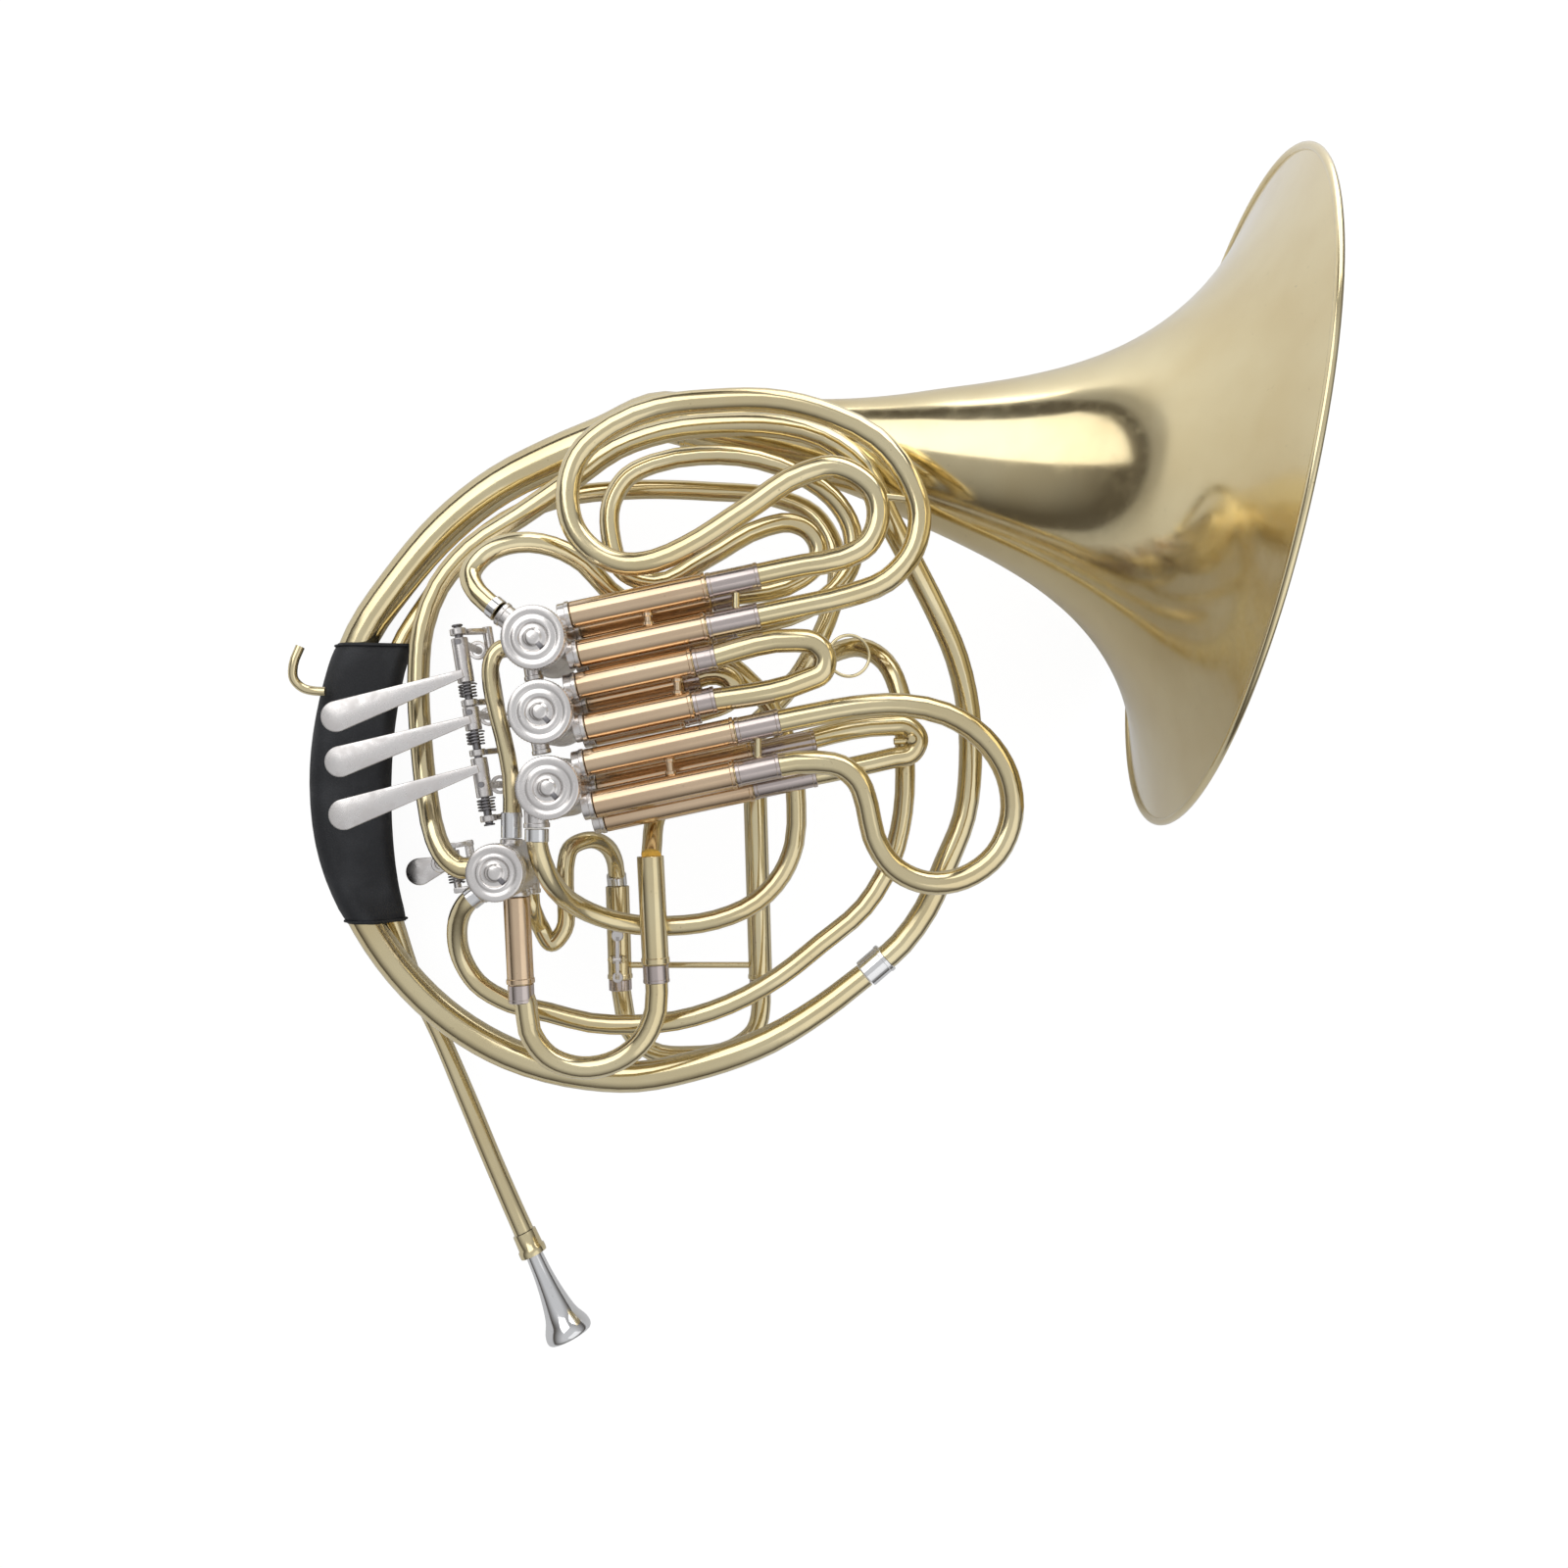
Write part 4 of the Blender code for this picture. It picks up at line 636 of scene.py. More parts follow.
def addStitches():
    # Lacing down the back of the guard: short bars set along a line
    line = []
    for k in range(25):
        y = guard["top"] - 5 + (guard["bottom"] - guard["top"] + 10) * k / 24
        line.append(min(guardSection(y, guard["thickness"] + 0.2), key=lambda point: point.z))
    mesh = bpy.data.meshes.new("laceLine")
    mesh.from_pydata([hornPlace @ (point * mm) for point in line], [(k, k + 1) for k in range(24)], [])
    tree, enter, leave = geometryTree("laceAlongLine", [
        ("Geometry", "NodeSocketGeometry"), ("Count", "NodeSocketInt"), ("Length", "NodeSocketFloat")])
    toCurve = tree.nodes.new("GeometryNodeMeshToCurve")
    resample = tree.nodes.new("GeometryNodeResampleCurve")
    stitch = tree.nodes.new("GeometryNodeMeshUVSphere")
    stitch.inputs["Segments"].default_value = 8
    stitch.inputs["Rings"].default_value = 6
    stitch.inputs["Radius"].default_value = 0.5
    onPoints = tree.nodes.new("GeometryNodeInstanceOnPoints")
    tangent = tree.nodes.new("GeometryNodeInputTangent")
    align = tree.nodes.new("FunctionNodeAlignEulerToVector")
    align.axis = "Z"
    size = tree.nodes.new("ShaderNodeCombineXYZ")
    size.inputs["X"].default_value = 0.0014
    size.inputs["Y"].default_value = 0.0014
    endTree(tree, onPoints.outputs[0], leave, "leather", [
        (enter.outputs["Geometry"], toCurve.inputs[0]), (toCurve.outputs[0], resample.inputs["Curve"]),
        (enter.outputs["Count"], resample.inputs["Count"]),
        (resample.outputs[0], onPoints.inputs["Points"]),
        (stitch.outputs[0], onPoints.inputs["Instance"]), (tangent.outputs[0], align.inputs["Vector"]),
        (align.outputs[0], onPoints.inputs["Rotation"]), (enter.outputs["Length"], size.inputs["Z"]),
        (size.outputs[0], onPoints.inputs["Scale"])])
    plainFromTree(bpy.data.objects.new("guardLacing", mesh), tree, {"Count": 26, "Length": 0.0038})


def makeHook():
    route = [(-236, 67, -2), (-239, 58, -1), (-239, 51, -2), (-235.5, 47, -4), (-230, 45.6, -5.5),
             (-225, 45.4, -5.8)]
    pieceFor("pinky_hook", Shape().tube(smoothRoute(route, 1.0, 5.0), 2.25, 20), "brass")


# Valves
valves = {"3": (-111.8, 65.3), "2": (-108.8, 32.2), "1": (-105.3, -1.7), "change": (-128.8, -39.6)}
casing = {"radius": {"3": 14.0, "2": 14.0, "1": 14.0, "change": 12.6}, "wall": 1.6, "back": -2.0,
          "front": 52.0, "backWall": 2.4, "steps": 56, "stopAngle": 67.0}
tiers = {"f": 40.0, "b": 16.0}
slideAngle = math.radians(12.0)
slideDir = Vector((math.cos(slideAngle), math.sin(slideAngle), 0.0))
legs = {"f3": (86.0, 67.8), "b3": (83.3, 67.7), "f2": (53.0, 33.6), "b2": (47.3, 31.7),
        "f1": (17.2, -2.6), "b1": (5.5, -10.1)}


def legPoint(x, yAtDatum, level):
    return Vector((x, yAtDatum + (x + 55.0) * math.tan(slideAngle), level))


def portPoint(valve, yAtDatum, level, reach):
    x, y = valves[valve]
    offset = (legPoint(x, yAtDatum, 0.0).y - y) * math.cos(slideAngle)
    side = Vector((-slideDir.y, slideDir.x, 0.0))
    return Vector((x, y, level)) + side * offset + slideDir * reach


def makeCasing(valve, ports):
    x, y = valves[valve]
    radius = casing["radius"][valve]
    axis = frameAt((x, y, 0.0), Vector((0, 0, 1)))
    bore = radius - casing["wall"]
    floor = casing["back"] + casing["backWall"]
    profile = [(radius - 0.6, casing["back"]), (radius, casing["back"] + 0.6),
               (radius, casing["front"] - 3.0), (radius + 0.35, casing["front"] - 2.6),
               (radius + 0.35, casing["front"] - 0.3), (radius, casing["front"]),
               (bore, casing["front"]), (bore, floor), (3.3, floor), (3.3, casing["back"])]
    shape = Shape().turned(profile, axis, casing["steps"])
    for start, end, size in ports:
        start = Vector(start)
        end = Vector(end)
        along = (end - start).normalized()
        inner = start + along * (bore * 0.9)
        if (end - inner).dot(along) < 2.0:
            inner = start
        shape.bar(inner, end, size, 32)
        shape.ring(end - along * 2.2, end, size + 0.45, size - 0.4, 32)
    for side in (-1, 1):
        way = Matrix.Rotation(math.radians(casing["stopAngle"]) * side, 3, "Z") @ rodDir
        spot = Vector((x, y, 0.0)) + way * 10.2
        shape.bar((spot.x, spot.y, casing["back"] + 1.0), (spot.x, spot.y, -10.5), 1.4, 16)
    pieceFor("casing_" + valve, shape, "nickel")


def makeCasings():
    for valve in ("3", "2", "1"):
        ports = []
        for tier in ("f", "b"):
            for y in legs[tier + valve]:
                end = portPoint(valve, y, tiers[tier], 16.7)
                start = portPoint(valve, y, tiers[tier], 0.0)
                ports.append((start, end, 6.3))
        x, y = valves[valve]
        if valve == "3":
            ports.append(((x, y, 40.0), (-129.4, 78.2, 40.0), 5.4))
            ports.append(((x, y, 30.0), (-128.0, 63.6, 30.0), 4.6))
        if valve == "1":
            ports.append(((-113.4, -8, 40.0), (-113.0, -20.0, 40.0), 5.6))
        if valve != "1":
            below = valves[{"3": "2", "2": "1"}[valve]]
            ports.append(((x - 6, y, 36.0), (below[0] - 6.0, below[1] + 15.4, 36.0), 4.0))
        makeCasing(valve, ports)
    x, y = valves["change"]
    makeCasing("change", [((x, y, 16.0), (-147.6, -39.9, 16.0), 5.9),
                          ((x, y, 16.0), (-144.9, -51.7, 16.0), 5.5),
                          ((-127.4, y, 17.0), (-126.8, -53.2, 17.0), 6.3),
                          ((-126.6, y + 4, 30.0), (-126.6, -25.5, 30.0), 4.7),
                          ((-123.0, -46, 3.4), (-122.6, -52.9, 3.4), 4.5)])


cap = {"base": 52.3, "height": 5.7, "overhang": 0.6, "ridges": 64, "notchAngle": -48.0}


def makeCaps():
    # Screw caps: a turned groove, a boss, a milled edge and the alignment notch
    for valve, (x, y) in valves.items():
        radius = casing["radius"][valve] + cap["overhang"]
        plug = casing["radius"][valve] - casing["wall"] - 0.3
        top = cap["base"] + cap["height"]
        groove = radius - 4.4
        profile = [(0.4, top + 0.6), (2.4, top + 0.55), (3.3, top + 0.25), (3.9, top - 0.5),
                   (4.6, top - 0.9), (6.0, top - 0.9), (6.5, top - 0.3), (6.9, top),
                   (groove - 0.9, top), (groove - 0.4, top - 0.35), (groove + 0.4, top - 0.35),
                   (groove + 0.9, top), (radius - 1.2, top), (radius - 0.5, top - 0.3),
                   (radius - 0.25, top - 1.0), (radius - 0.25, cap["base"] + 0.5),
                   (radius - 0.5, cap["base"]), (plug, cap["base"]), (plug, cap["base"] - 1.3),
                   (0.4, cap["base"] - 1.3)]
        shape = Shape()
        shape.turned(profile, frameAt((x, y, 0.0), Vector((0, 0, 1))), 72, closed=False)
        pieceFor("cap_" + valve, shape, "nickel")
        notch = Shape()
        way = Matrix.Rotation(math.radians(cap["notchAngle"]), 3, "Z") @ Vector((1, 0, 0))
        spot = Vector((x, y, top - 0.55)) + way * 4.6
        notch.block(spot, (3.0, 2.2, 1.5), way, lip=0.2)
        notch.place("cap_notch_" + valve, "steel", "horn")
        addMilling("cap_milling_" + valve, Vector((x, y, cap["base"] + cap["height"] * 0.45)), radius)


def millingNodes():
    # A ring of fine ridges round a rim
    tree, enter, leave = geometryTree("ridgesRoundRim", [
        ("Geometry", "NodeSocketGeometry"), ("Radius", "NodeSocketFloat"), ("Ridges", "NodeSocketInt"),
        ("Height", "NodeSocketFloat")])
    circle = tree.nodes.new("GeometryNodeMeshCircle")
    ridge = tree.nodes.new("GeometryNodeMeshCylinder")
    ridge.inputs["Vertices"].default_value = 6
    ridge.inputs["Radius"].default_value = 0.00042
    onPoints = tree.nodes.new("GeometryNodeInstanceOnPoints")
    endTree(tree, onPoints.outputs[0], leave, "nickel", [
        (enter.outputs["Radius"], circle.inputs["Radius"]),
        (enter.outputs["Ridges"], circle.inputs["Vertices"]),
        (enter.outputs["Height"], ridge.inputs["Depth"]),
        (circle.outputs[0], onPoints.inputs["Points"]), (ridge.outputs[0], onPoints.inputs["Instance"])])
    return tree


millingTree = millingNodes()


def addMilling(name, centre, radius):
    carrier = bpy.data.objects.new(name, bpy.data.meshes.new(name))
    wanted = {"Radius": (radius - 0.42) * mm, "Ridges": cap["ridges"], "Height": 3.4 * mm}
    plainFromTree(carrier, millingTree, wanted, hornPlace @ Matrix.Translation(centre * mm))


# Slides: each has its hollow sleeves, silver ferrules and the bow that pulls out
slides = {
    "f3": {"valve": "3", "sleeveEnd": -35.4, "ferrule": 24.0, "radius": 5.4, "braces": (0.55,), "crook": [
        (9, 99.8), (26, 103), (38, 109.5), (43, 121), (41, 133), (33, 141), (22, 145),
        (9, 142), (-18, 125), (-45, 108), (-59, 102), (-72, 100.5), (-85, 105), (-96, 117),
        (-99, 132), (-94, 150), (-78, 164), (-58, 172), (-34, 175), (0, 174.5), (23, 168),
        (42, 158), (56, 141), (62, 123), (59, 107), (47, 93), (29, 86), (5, 80.6)]},
    "f2": {"valve": "2", "sleeveEnd": -41.7, "ferrule": 10.5, "radius": 5.4, "braces": (0.86,), "crook": [
        (5, 65.6), (13, 64.6), (18.6, 58.2), (17.2, 51.0), (10, 47.4)]},
    "f1": {"valve": "1", "sleeveEnd": -22.4, "ferrule": 20.5, "radius": 5.4, "braces": (0.55,), "crook": [
        (14, 31.8), (32, 35), (55, 36), (74, 32), (91, 21), (102, 4), (104, -15), (97, -32),
        (82, -43), (65, -45), (50, -38), (41, -24), (38, -10), (34, 1), (26, 8), (14, 10)]},
    "b3": {"valve": "3", "sleeveEnd": -35.0, "ferrule": 12.0, "radius": 4.7, "braces": (0.5,), "crook": [
        (8, 97.6), (15, 104), (16.5, 112), (12, 120), (3, 124), (-9, 122), (-37, 107),
        (-61, 95.5), (-77, 102), (-82, 116), (-82, 133), (-74, 146), (-62, 152), (-40, 156),
        (-12, 154), (7, 147), (23, 136), (32, 121), (32, 105), (24, 92), (10, 82.8)]},
    "b2": {"valve": "2", "sleeveEnd": -48.0, "ferrule": 8.0, "radius": 5.4, "braces": (0.5,), "crook": [
        (-32, 52.4), (-26, 50.0), (-23.4, 45.4), (-26, 40.4), (-32, 37.2)]},
    "b1": {"valve": "1", "sleeveEnd": -15.0, "ferrule": 30.0, "radius": 5.0, "braces": (0.5,), "crook": [
        (50, 27.8), (58, 27.6), (63.5, 21.4), (60.5, 14.6), (51, 12.2)]},
}
sleeve = {"start": 17.0, "outer": 6.5, "bore": 5.9, "ferrule": 6.25}


def makeSlide(tag, slide):
    level = tiers[tag[0]]
    ends = legs[tag]
    lines = [(portPoint(slide["valve"], y, level, sleeve["start"]), legPoint(slide["sleeveEnd"], y, level))
             for y in ends]
    shape = Shape()
    for start, end in lines:
        along = (end - start).normalized()
        shape.ring(start, end, sleeve["outer"] - 0.15, sleeve["bore"], 36)
        shape.ring(end - along * 1.9, end, sleeve["outer"] + 0.25, sleeve["bore"], 36)
    for share in slide["braces"]:
        spots = [start.lerp(end, share) for start, end in lines]
        inward = (spots[1] - spots[0]).normalized() * (sleeve["outer"] - 0.5)
        shape.bar(spots[0] + inward, spots[1] - inward, 1.7, 18)
        shape.bar(spots[0] + inward, spots[0] + inward * 1.3, 2.6, 18)
        shape.bar(spots[1] - inward * 1.3, spots[1] - inward, 2.6, 18)
    pieceFor(tag + "_sleeves", shape, "roseBrass")
    inner = sleeve["start"] + 5.0
    out = legPoint(slide["sleeveEnd"] + 2.0, ends[0], level)
    back = legPoint(slide["sleeveEnd"] + 2.0, ends[1], level)
    route = [portPoint(slide["valve"], ends[0], level, inner),
             *smoothRoute([out, *[(*point, level) for point in slide["crook"]], back]),
             portPoint(slide["valve"], ends[1], level, inner)]
    shape = Shape().tube(route, slide["radius"], 26)
    if tag == "f3":
        shape.bar((40.5, 132, level), (60, 130, level), 1.7, 18)
        shape.bar(legPoint(-22, ends[0] - 4, level), legPoint(-22, ends[1] + 4, level), 1.7, 18)
    if tag == "f1":
        shape.bar(legPoint(-12, ends[0] - 4, level), legPoint(-12, ends[1] + 4, level), 1.7, 18)
    if tag == "b1":
        shape.bar((52, 20.2, level), (64, 21, level), 1.6, 18)
        shape.bar((60, 21, level), (60, 21, level + 9.0), 2.5, 24, lip=0.9)
    pieceFor(tag + "_slide", shape, "brass")
    collar = Shape()
    for y in ends:
        first = legPoint(slide["sleeveEnd"] + 0.3, y, level)
        last = legPoint(slide["sleeveEnd"] + slide["ferrule"], y, level)
        collar.ring(first, last, sleeve["ferrule"] - 0.25, slide["radius"] - 0.2, 32)
        collar.ring(first, first + slideDir * 2.0, sleeve["ferrule"], slide["radius"] - 0.2, 32)
        collar.ring(last - slideDir * 2.0, last, sleeve["ferrule"], slide["radius"] - 0.2, 32)
    collar.place(tag + "_ferrules", "band", tag + "_slide_body")


def makePullRing():
    # Thin wire ring on the second F slide's bow
    centre = Vector((29.6, 58.6, tiers["f"]))
    ring = [centre + slideDir * (math.cos(a) * 9.4) + Vector((-slideDir.y, slideDir.x, 0)) * (math.sin(a) * 9.4)
            for a in (2 * math.pi * k / 48 for k in range(49))]
    Shape().tube(ring, 0.75, 12).place("f2_pull_ring", "brass", "f2_slide_body")


def makeMainSlide():
    level = mainSlide["left"].z
    left = mainSlide["left"]
    right = mainSlide["right"]
    leftEnd = left + mainDown * mainSlide["leftLength"]
    rightEnd = right + mainDown * mainSlide["rightLength"]
    shape = Shape().ring(left, leftEnd, 6.3, sleeve["bore"], 36)
    shape.ring(leftEnd - mainDown * 2.6, leftEnd, 6.7, sleeve["bore"], 36)
    pieceFor("main_sleeve", shape, "roseBrass")
    crook = [(-122.4, -104, level), (-120.6, -117, level), (-112, -129, level), (-96, -134.5, level),
             (-79, -131, level), (-66, -120, level), (-60.8, -107, level)]
    route = [left + mainDown * 6.0, *smoothRoute([leftEnd + mainDown * 4.0, *crook, rightEnd + mainDown * 4.0]),
             right + mainDown * 8.0]
    pieceFor("main_tuning_slide", Shape().tube(route, 5.4, 28), "brass")
    collar = Shape()
    for end in (leftEnd, rightEnd):
        collar.ring(end + mainDown * 0.3, end + mainDown * 9.0, 6.15, 5.2, 36)
        collar.ring(end + mainDown * 7.2, end + mainDown * 9.0, 6.3, 5.2, 36)
    collar.place("main_ferrules", "band", "main_slide_body")


rear = {"down": Vector((0.03, -1.0, 0.0)).normalized(), "left": Vector((-86.5, -53.0, -45.0)),
        "right": Vector((-15.4, 7.6, -45.0)), "leftLength": 48.0, "rightLength": 108.6, "braceY": -94.0}


def makeRearSlide():
    down = rear["down"]
    level = rear["left"].z
    lines = [(rear["left"], rear["left"] + down * rear["leftLength"]),
             (rear["right"], rear["right"] + down * rear["rightLength"])]
    shape = Shape()
    spots = []
    for start, end in lines:
        shape.ring(start, end, 6.1, 5.6, 32)
        shape.ring(end - down * 2.4, end, 6.5, 5.6, 32)
        spots.append(start + down * ((start.y - rear["braceY"]) / -down.y))
    inward = (spots[1] - spots[0]).normalized() * 5.7
    shape.bar(spots[0] + inward, spots[1] - inward, 1.6, 18)
    hinge = rear["left"] + down * 37.0 + Vector((0.0, 0.0, 9.2))
    for side in (-1, 1):
        shape.block(hinge + Vector((side * 3.3, 0.0, -2.0)), (1.4, 3.4, 7.0))
    shape.bar(hinge - Vector((5.0, 0, 0)), hinge + Vector((5.0, 0, 0)), 0.9, 16)
    shape.bar(hinge + Vector((0.3, -9.0, -4.6)), hinge + Vector((0.3, -9.0, -0.9)), 2.2, 20)
    pieceFor("rear_slide_sleeves", shape, "brass")
    crook = [(-83.6, -113, level), (-80, -128, level), (-69, -138.5, level), (-48, -141, level),
             (-27, -137.5, level), (-15, -128, level), (-11.8, -113, level)]
    route = [rear["left"] + down * 6.0, *smoothRoute([lines[0][1] + down * 3.0, *crook, lines[1][1] + down * 3.0]),
             rear["right"] + down * 60.0]
    pieceFor("rear_tuning_slide", Shape().tube(route, 5.0, 26), "brass")
    collar = Shape()
    for start, end in lines:
        collar.ring(end + down * 0.3, end + down * 6.0, 5.9, 4.8, 32)
    collar.place("rear_ferrules", "band", "rear_slide_body")
    key = Shape().bar(hinge - Vector((2.2, 0, 0)), hinge + Vector((2.2, 0, 0)), 2.2, 24)
    key.block(hinge + Vector((0.2, 1.0, 1.5)), (2.2, 22.0, 1.2))
    key.bar(hinge + Vector((0.2, 12.5, 0.9)), hinge + Vector((0.2, 12.5, 2.1)), 3.2, 28, lip=0.4)
    key.bar(hinge + Vector((0.3, -9.0, 0.2)), hinge + Vector((0.3, -9.0, 1.6)), 2.8, 28)
    pieceFor("water_key", key, "nickel")
    Shape().bar(hinge + Vector((0.3, -9.0, -0.5)), hinge + Vector((0.3, -9.0, 0.3)), 2.6, 24).place(
        "water_key_cork", "cork", "water_key_body")


# Levers, their rod and springs
paddle = {"tips": {"3": (-207.3, 31.3), "2": (-205.5, 10.4), "1": (-203.7, -14.1)},
          "radius": 7.2, "level": 31.6, "thickness": 1.8, "neck": 1.9}
linkLevel = -10.0
linkOffset = 7.0
posts = (-4.5, 29.0, 52.5, 83.5)


def rodPoint(station):
    return rodTop + rodDir * station


def paddleOutline(tip, neck, radius, neckHalf):
    # Teardrop: round at the tip, drawn in to the neck
    tip = Vector(tip)
    neck = Vector(neck)
    along = (neck - tip).normalized()
    side = Vector((-along.y, along.x))
    outline = [neck + side * neckHalf]
    for k in range(29):
        angle = math.radians(82.0 + k * 196.0 / 28)
        outline.append(tip + along * (math.cos(angle) * radius) + side * (math.sin(angle) * radius))
    outline.append(neck - side * neckHalf)
    return outline


def makeLevers():
    for valve, (paddleAt, barrelFrom, barrelTo) in leverStations.items():
        neck = rodPoint(paddleAt)
        outline = paddleOutline(paddle["tips"][valve], (neck.x, neck.y), paddle["radius"], paddle["neck"])
        shape = Shape().plate(outline, paddle["level"], paddle["thickness"], lip=0.5)
        shape.ring(rodPoint(barrelFrom), rodPoint(barrelTo), 3.85, 2.2, 32)
        shape.ring(rodPoint(paddleAt - 2.4), rodPoint(paddleAt + 2.4), 3.9, 2.2, 32, lip=0.6)
        station = (Vector((*valves[valve], rodTop.z)) - rodTop).dot(rodDir) - linkOffset
        top = rodPoint(station)
        shape.bar(top - Vector((0, 0, 3.2)), (top.x, top.y, linkLevel - 2.6), 1.85, 20)
        pieceFor("finger_lever_" + valve, shape, "paddle")
        screw = Shape().bar(top + Vector((0, 0, 3.2)), top + Vector((0, 0, 3.95)), 1.5, 20)
        screw.place("lever_screw_" + valve, "steel", "finger_lever_%s_body" % valve)
        makeLink(valve, Vector((top.x, top.y, linkLevel)), "finger_lever_%s_body" % valve)


def makeLink(valve, foot, leverBody):
    # Sliding bar with its eye and, wound from it round the hub, the valve string
    hub = Vector((*valves[valve], linkLevel))
    line = hub - rodDir * linkOffset
    start = line + rodAcross * (foot - line).dot(rodAcross)
    end = line + rodAcross * 6.0
    middle = (start + rodAcross * 3.0).lerp(end, 0.5)
    shape = Shape().block(middle, ((end - start).length - 3.0, 2.0, 2.4), rodAcross)
    shape.ring(start - Vector((0, 0, 1.4)), start + Vector((0, 0, 1.4)), 4.6, 3.0, 32)
    pieceFor("link_bar_" + valve, shape, "nickel")
    knots = Shape()
    for spot in (line - rodAcross * 9.0, line + rodAcross * 5.0):
        knots.bar(spot - Vector((0, 0, 1.8)), spot + Vector((0, 0, 1.8)), 0.9, 14)
    knots.place("string_screws_" + valve, "steel", "link_%s_body" % valve)
    winding = Shape()
    for lift in (-0.75, 0.75):
        ring = [hub + Vector((0, 0, lift)) + Vector((math.cos(a), math.sin(a), 0)) * 5.75
                for a in (2 * math.pi * k / 40 for k in range(41))]
        winding.tube(ring, 0.35, 10)
    winding.place("string_winding_" + valve, "string", "rotor_%s_body" % valve)


def makeRotors():
    # The stop arms show from behind, and the spindle's end with its screw
    for valve, (x, y) in valves.items():
        restDir = Matrix.Rotation(math.radians(45.0), 3, "Z") @ rodDir
        shape = Shape().ring((x, y, -12.8), (x, y, -6.6), 5.35, 3.0, 36)
        shape.block(Vector((x, y, -9.7)) + restDir * 8.0, (8.5, 4.0, 3.2), restDir, lip=0.4)
        pieceFor("stop_arm_" + valve, shape, "nickel")
        head = Shape().bar((x, y, -13.75), (x, y, -12.6), 2.7, 28)
        head.place("rotor_screw_" + valve, "brass", "rotor_%s_body" % valve)
        frame["nodes"]["rotor_" + valve].data.materials.clear()
        frame["nodes"]["rotor_" + valve].data.materials.append(finishes["brass"])


def makeRodAndCradle():
    shape = Shape().bar(rodPoint(-7.0), rodPoint(86.0), 1.9, 24)
    pieceFor("hinge_rod", shape, "steel")
    heads = Shape()
    for station, way in ((-7.0, -1), (86.0, 1)):
        heads.bar(rodPoint(station), rodPoint(station + way * 0.9), 2.6, 24)
    heads.place("rod_screw_heads", "steel", "horn")
    out = rodAcross * 11.0 + Vector((0.0, 0.0, -13.0))
    shape = Shape().bar(rodPoint(posts[0] - 2.0) + out, rodPoint(posts[-1] + 2.0) + out, 2.4, 24)
    for station in posts:
        top = rodPoint(station)
        shape.ring(top - rodDir * 1.5, top + rodDir * 1.5, 3.85, 2.0, 32)
        shape.block(top + out * 0.6, (11.5, 2.6, 3.4), out, rodDir.cross(out))
    for valve in ("3", "2", "1"):
        centre = Vector((*valves[valve], 15.0))
        start = rodPoint((centre - rodTop).dot(rodDir)) + out
        way = (centre - start).normalized()
        shape.bar(start, centre - way * (casing["radius"][valve] + 0.3), 1.9, 20)
    pieceFor("lever_cradle", shape, "nickel")


spring = {"curls": 4, "pitch": 1.45, "wire": 0.45, "radius": 3.7, "points": 26, "lead": 3.5,
          "stations": {"3": 20.3, "2": 42.8, "1": 74.3}}


def makeSpring(node, start):
    total = spring["curls"] * spring["points"]
    points = []
    up = Vector((0.0, 0.0, 1.0))
    for k in range(total + 1):
        angle = 2 * math.pi * k / spring["points"]
        points.append(start + rodDir * (spring["pitch"] * k / spring["points"])
                      + rodAcross * (math.cos(angle) * spring["radius"])
                      + up * (math.sin(angle) * spring["radius"]))
    wire = [points[0] - up * spring["lead"], points[0] - up * 0.5, *points[1:],
            points[-1] + up * spring["lead"]]
    pieceFor(node, Shape().tube(wire, spring["wire"], 10), "steel")


def makeThumb():
    hub = Vector((*valves["change"], linkLevel))
    line = hub - rodDir * linkOffset
    hinge = line - rodAcross * 40.0
    hinge.z = -36.0
    tip = hinge - rodAcross * 19.0 + rodDir * 3.0
    outline = paddleOutline((tip.x, tip.y), (hinge.x, hinge.y), 7.0, 2.4)
    shape = Shape().plate(outline, hinge.z - 3.2, 1.8, lip=0.5)
    shape.ring(hinge - rodDir * 5.0, hinge + rodDir * 5.0, 3.55, 2.2, 32)
    shape.bar(hinge + Vector((0, 0, 3.0)), (hinge.x, hinge.y, linkLevel + 2.4), 1.85, 20)
    pieceFor("thumb_lever", shape, "paddle")
    makeLink("change", Vector((hinge.x, hinge.y, linkLevel)), "thumb_lever_body")
    shape = Shape().bar(hinge - rodDir * 9.0, hinge + rodDir * 17.0, 1.9, 20)
    shape.block(hinge + rodAcross * 9.0 + rodDir * 4.0, (4.0, 26.0, 3.0), rodAcross)
    for station in (-7.4, 15.4):
        shape.block(hinge + rodDir * station + rodAcross * 4.6, (13.0, 2.6, 5.0), rodAcross)
    shape.bar((-159.2, -43.1, -35.5), (-143.4, -41.5, 2.0), 1.6, 18)
    pieceFor("thumb_bracket", shape, "nickel")
    makeSpring("thumb_spring", hinge + rodDir * 6.0)


# Floor, light and background
studio = {"floor": (0.86, 0.86, 0.86), "backdrop": 1.0, "glow": 1.12, "share": 0.84, "key": 4.2, "fill": 1.6, "rim": 3.0,
          "overhead": 0.62, "horizon": 0.10}


def addLamp(name, place, power, size, color=(1.0, 1.0, 1.0)):
    data = bpy.data.lights.new(name, "AREA")
    data.energy = power
    data.size = size
    data.color = color
    lamp = bpy.data.objects.new(name, data)
    place = hornPlace @ (Vector(place) * mm)
    target = hornPlace @ Vector((0.0, 0.0, 0.0))
    lamp.matrix_world = Matrix.Translation(place) @ (place - target).to_track_quat("Z", "Y").to_matrix().to_4x4()
    bpy.context.scene.collection.objects.link(lamp)


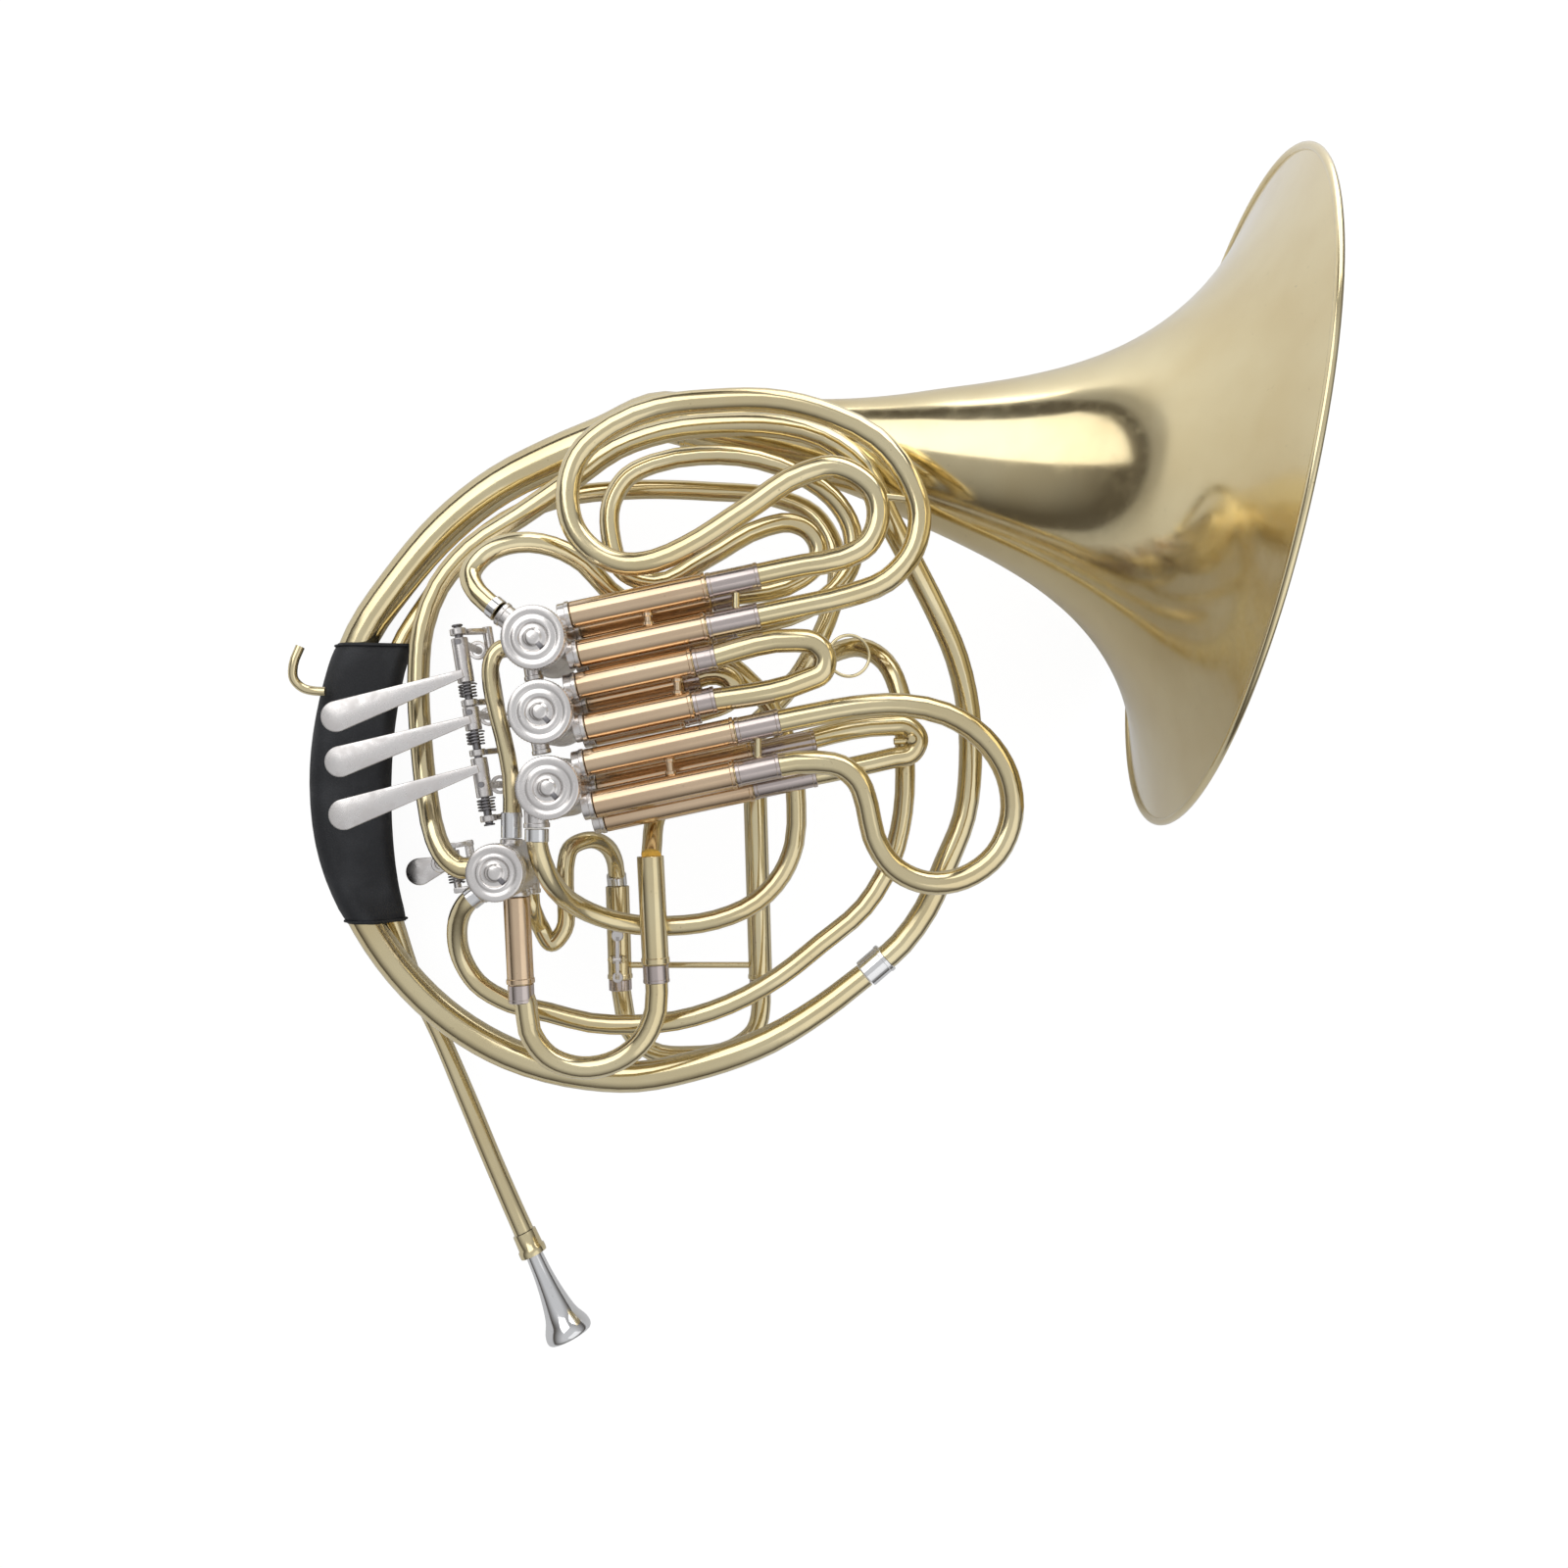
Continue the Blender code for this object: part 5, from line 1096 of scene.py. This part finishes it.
def addStudio():
    mesh = bpy.data.meshes.new("floor")
    reach = 6.0
    mesh.from_pydata([(-reach, -reach, 0), (reach, -reach, 0), (reach, reach, 0), (-reach, reach, 0)],
                     [], [(0, 1, 2, 3)])
    floor = bpy.data.objects.new("floor", mesh)
    bpy.context.scene.collection.objects.link(floor)
    paper = bpy.data.materials.new("palePaper")
    paper.use_nodes = True
    tree = paper.node_tree
    shader = tree.nodes["Principled BSDF"]
    shader.inputs["Base Color"].default_value = (*studio["floor"], 1.0)
    shader.inputs["Roughness"].default_value = 0.9
    glow = tree.nodes.new("ShaderNodeEmission")
    glow.inputs["Strength"].default_value = studio["glow"]
    rays = tree.nodes.new("ShaderNodeLightPath")
    blend = tree.nodes.new("ShaderNodeMixShader")
    share = tree.nodes.new("ShaderNodeMath")
    share.operation = "MULTIPLY"
    share.inputs[1].default_value = studio["share"]
    tree.links.new(rays.outputs["Is Camera Ray"], share.inputs[0])
    tree.links.new(share.outputs[0], blend.inputs[0])
    tree.links.new(shader.outputs[0], blend.inputs[1])
    tree.links.new(glow.outputs[0], blend.inputs[2])
    tree.links.new(blend.outputs[0], tree.nodes["Material Output"].inputs[0])
    mesh.materials.append(paper)
    world = bpy.data.worlds.new("studio")
    bpy.context.scene.world = world
    world.use_nodes = True
    tree = world.node_tree
    sky = tree.nodes["Background"]
    facing = tree.nodes.new("ShaderNodeTexCoord")
    parts = tree.nodes.new("ShaderNodeSeparateXYZ")
    tree.links.new(facing.outputs["Generated"], parts.inputs[0])
    height = Value(tree, parts.outputs["Z"]).between(0.15, 0.80)
    tint = tree.nodes.new("ShaderNodeMix")
    tint.data_type = "RGBA"
    tint.inputs[6].default_value = (*[studio["horizon"] * c for c in (1.0, 0.92, 0.84)], 1.0)
    tint.inputs[7].default_value = (*[studio["overhead"] * c for c in (0.97, 0.98, 1.0)], 1.0)
    tree.links.new(height.socket, tint.inputs[0])
    tree.links.new(tint.outputs[2], sky.inputs["Color"])
    white = tree.nodes.new("ShaderNodeBackground")
    white.inputs["Color"].default_value = (1.0, 1.0, 1.0, 1.0)
    white.inputs["Strength"].default_value = studio["backdrop"]
    rays = tree.nodes.new("ShaderNodeLightPath")
    blend = tree.nodes.new("ShaderNodeMixShader")
    tree.links.new(rays.outputs["Is Camera Ray"], blend.inputs[0])
    tree.links.new(sky.outputs[0], blend.inputs[1])
    tree.links.new(white.outputs[0], blend.inputs[2])
    tree.links.new(blend.outputs[0], tree.nodes["World Output"].inputs[0])
    addLamp("keyLamp", (-500, 700, 900), studio["key"], 1.0)
    addLamp("fillLamp", (700, -500, 800), studio["fill"], 1.2)
    addLamp("rimLamp", (300, 900, 200), studio["rim"], 0.7)
    bpy.context.scene.view_settings.view_transform = "Standard"


addCamera()
print("camera placed")
makeBell()
makeBentTubes()
makeMouthEnd()
print("bell, tubes and mouthpiece made")
makeGuard()
addStitches()
makeHook()
print("guard made")
makeCasings()
makeCaps()
makeRotors()
print("valves made")
for tag, slide in slides.items():
    makeSlide(tag, slide)
makePullRing()
makeMainSlide()
makeRearSlide()
print("slides made")
makeLevers()
makeRodAndCradle()
for valve, station in spring["stations"].items():
    makeSpring("lever_spring_" + valve, rodPoint(station))
makeThumb()
print("levers made")
addStudio()
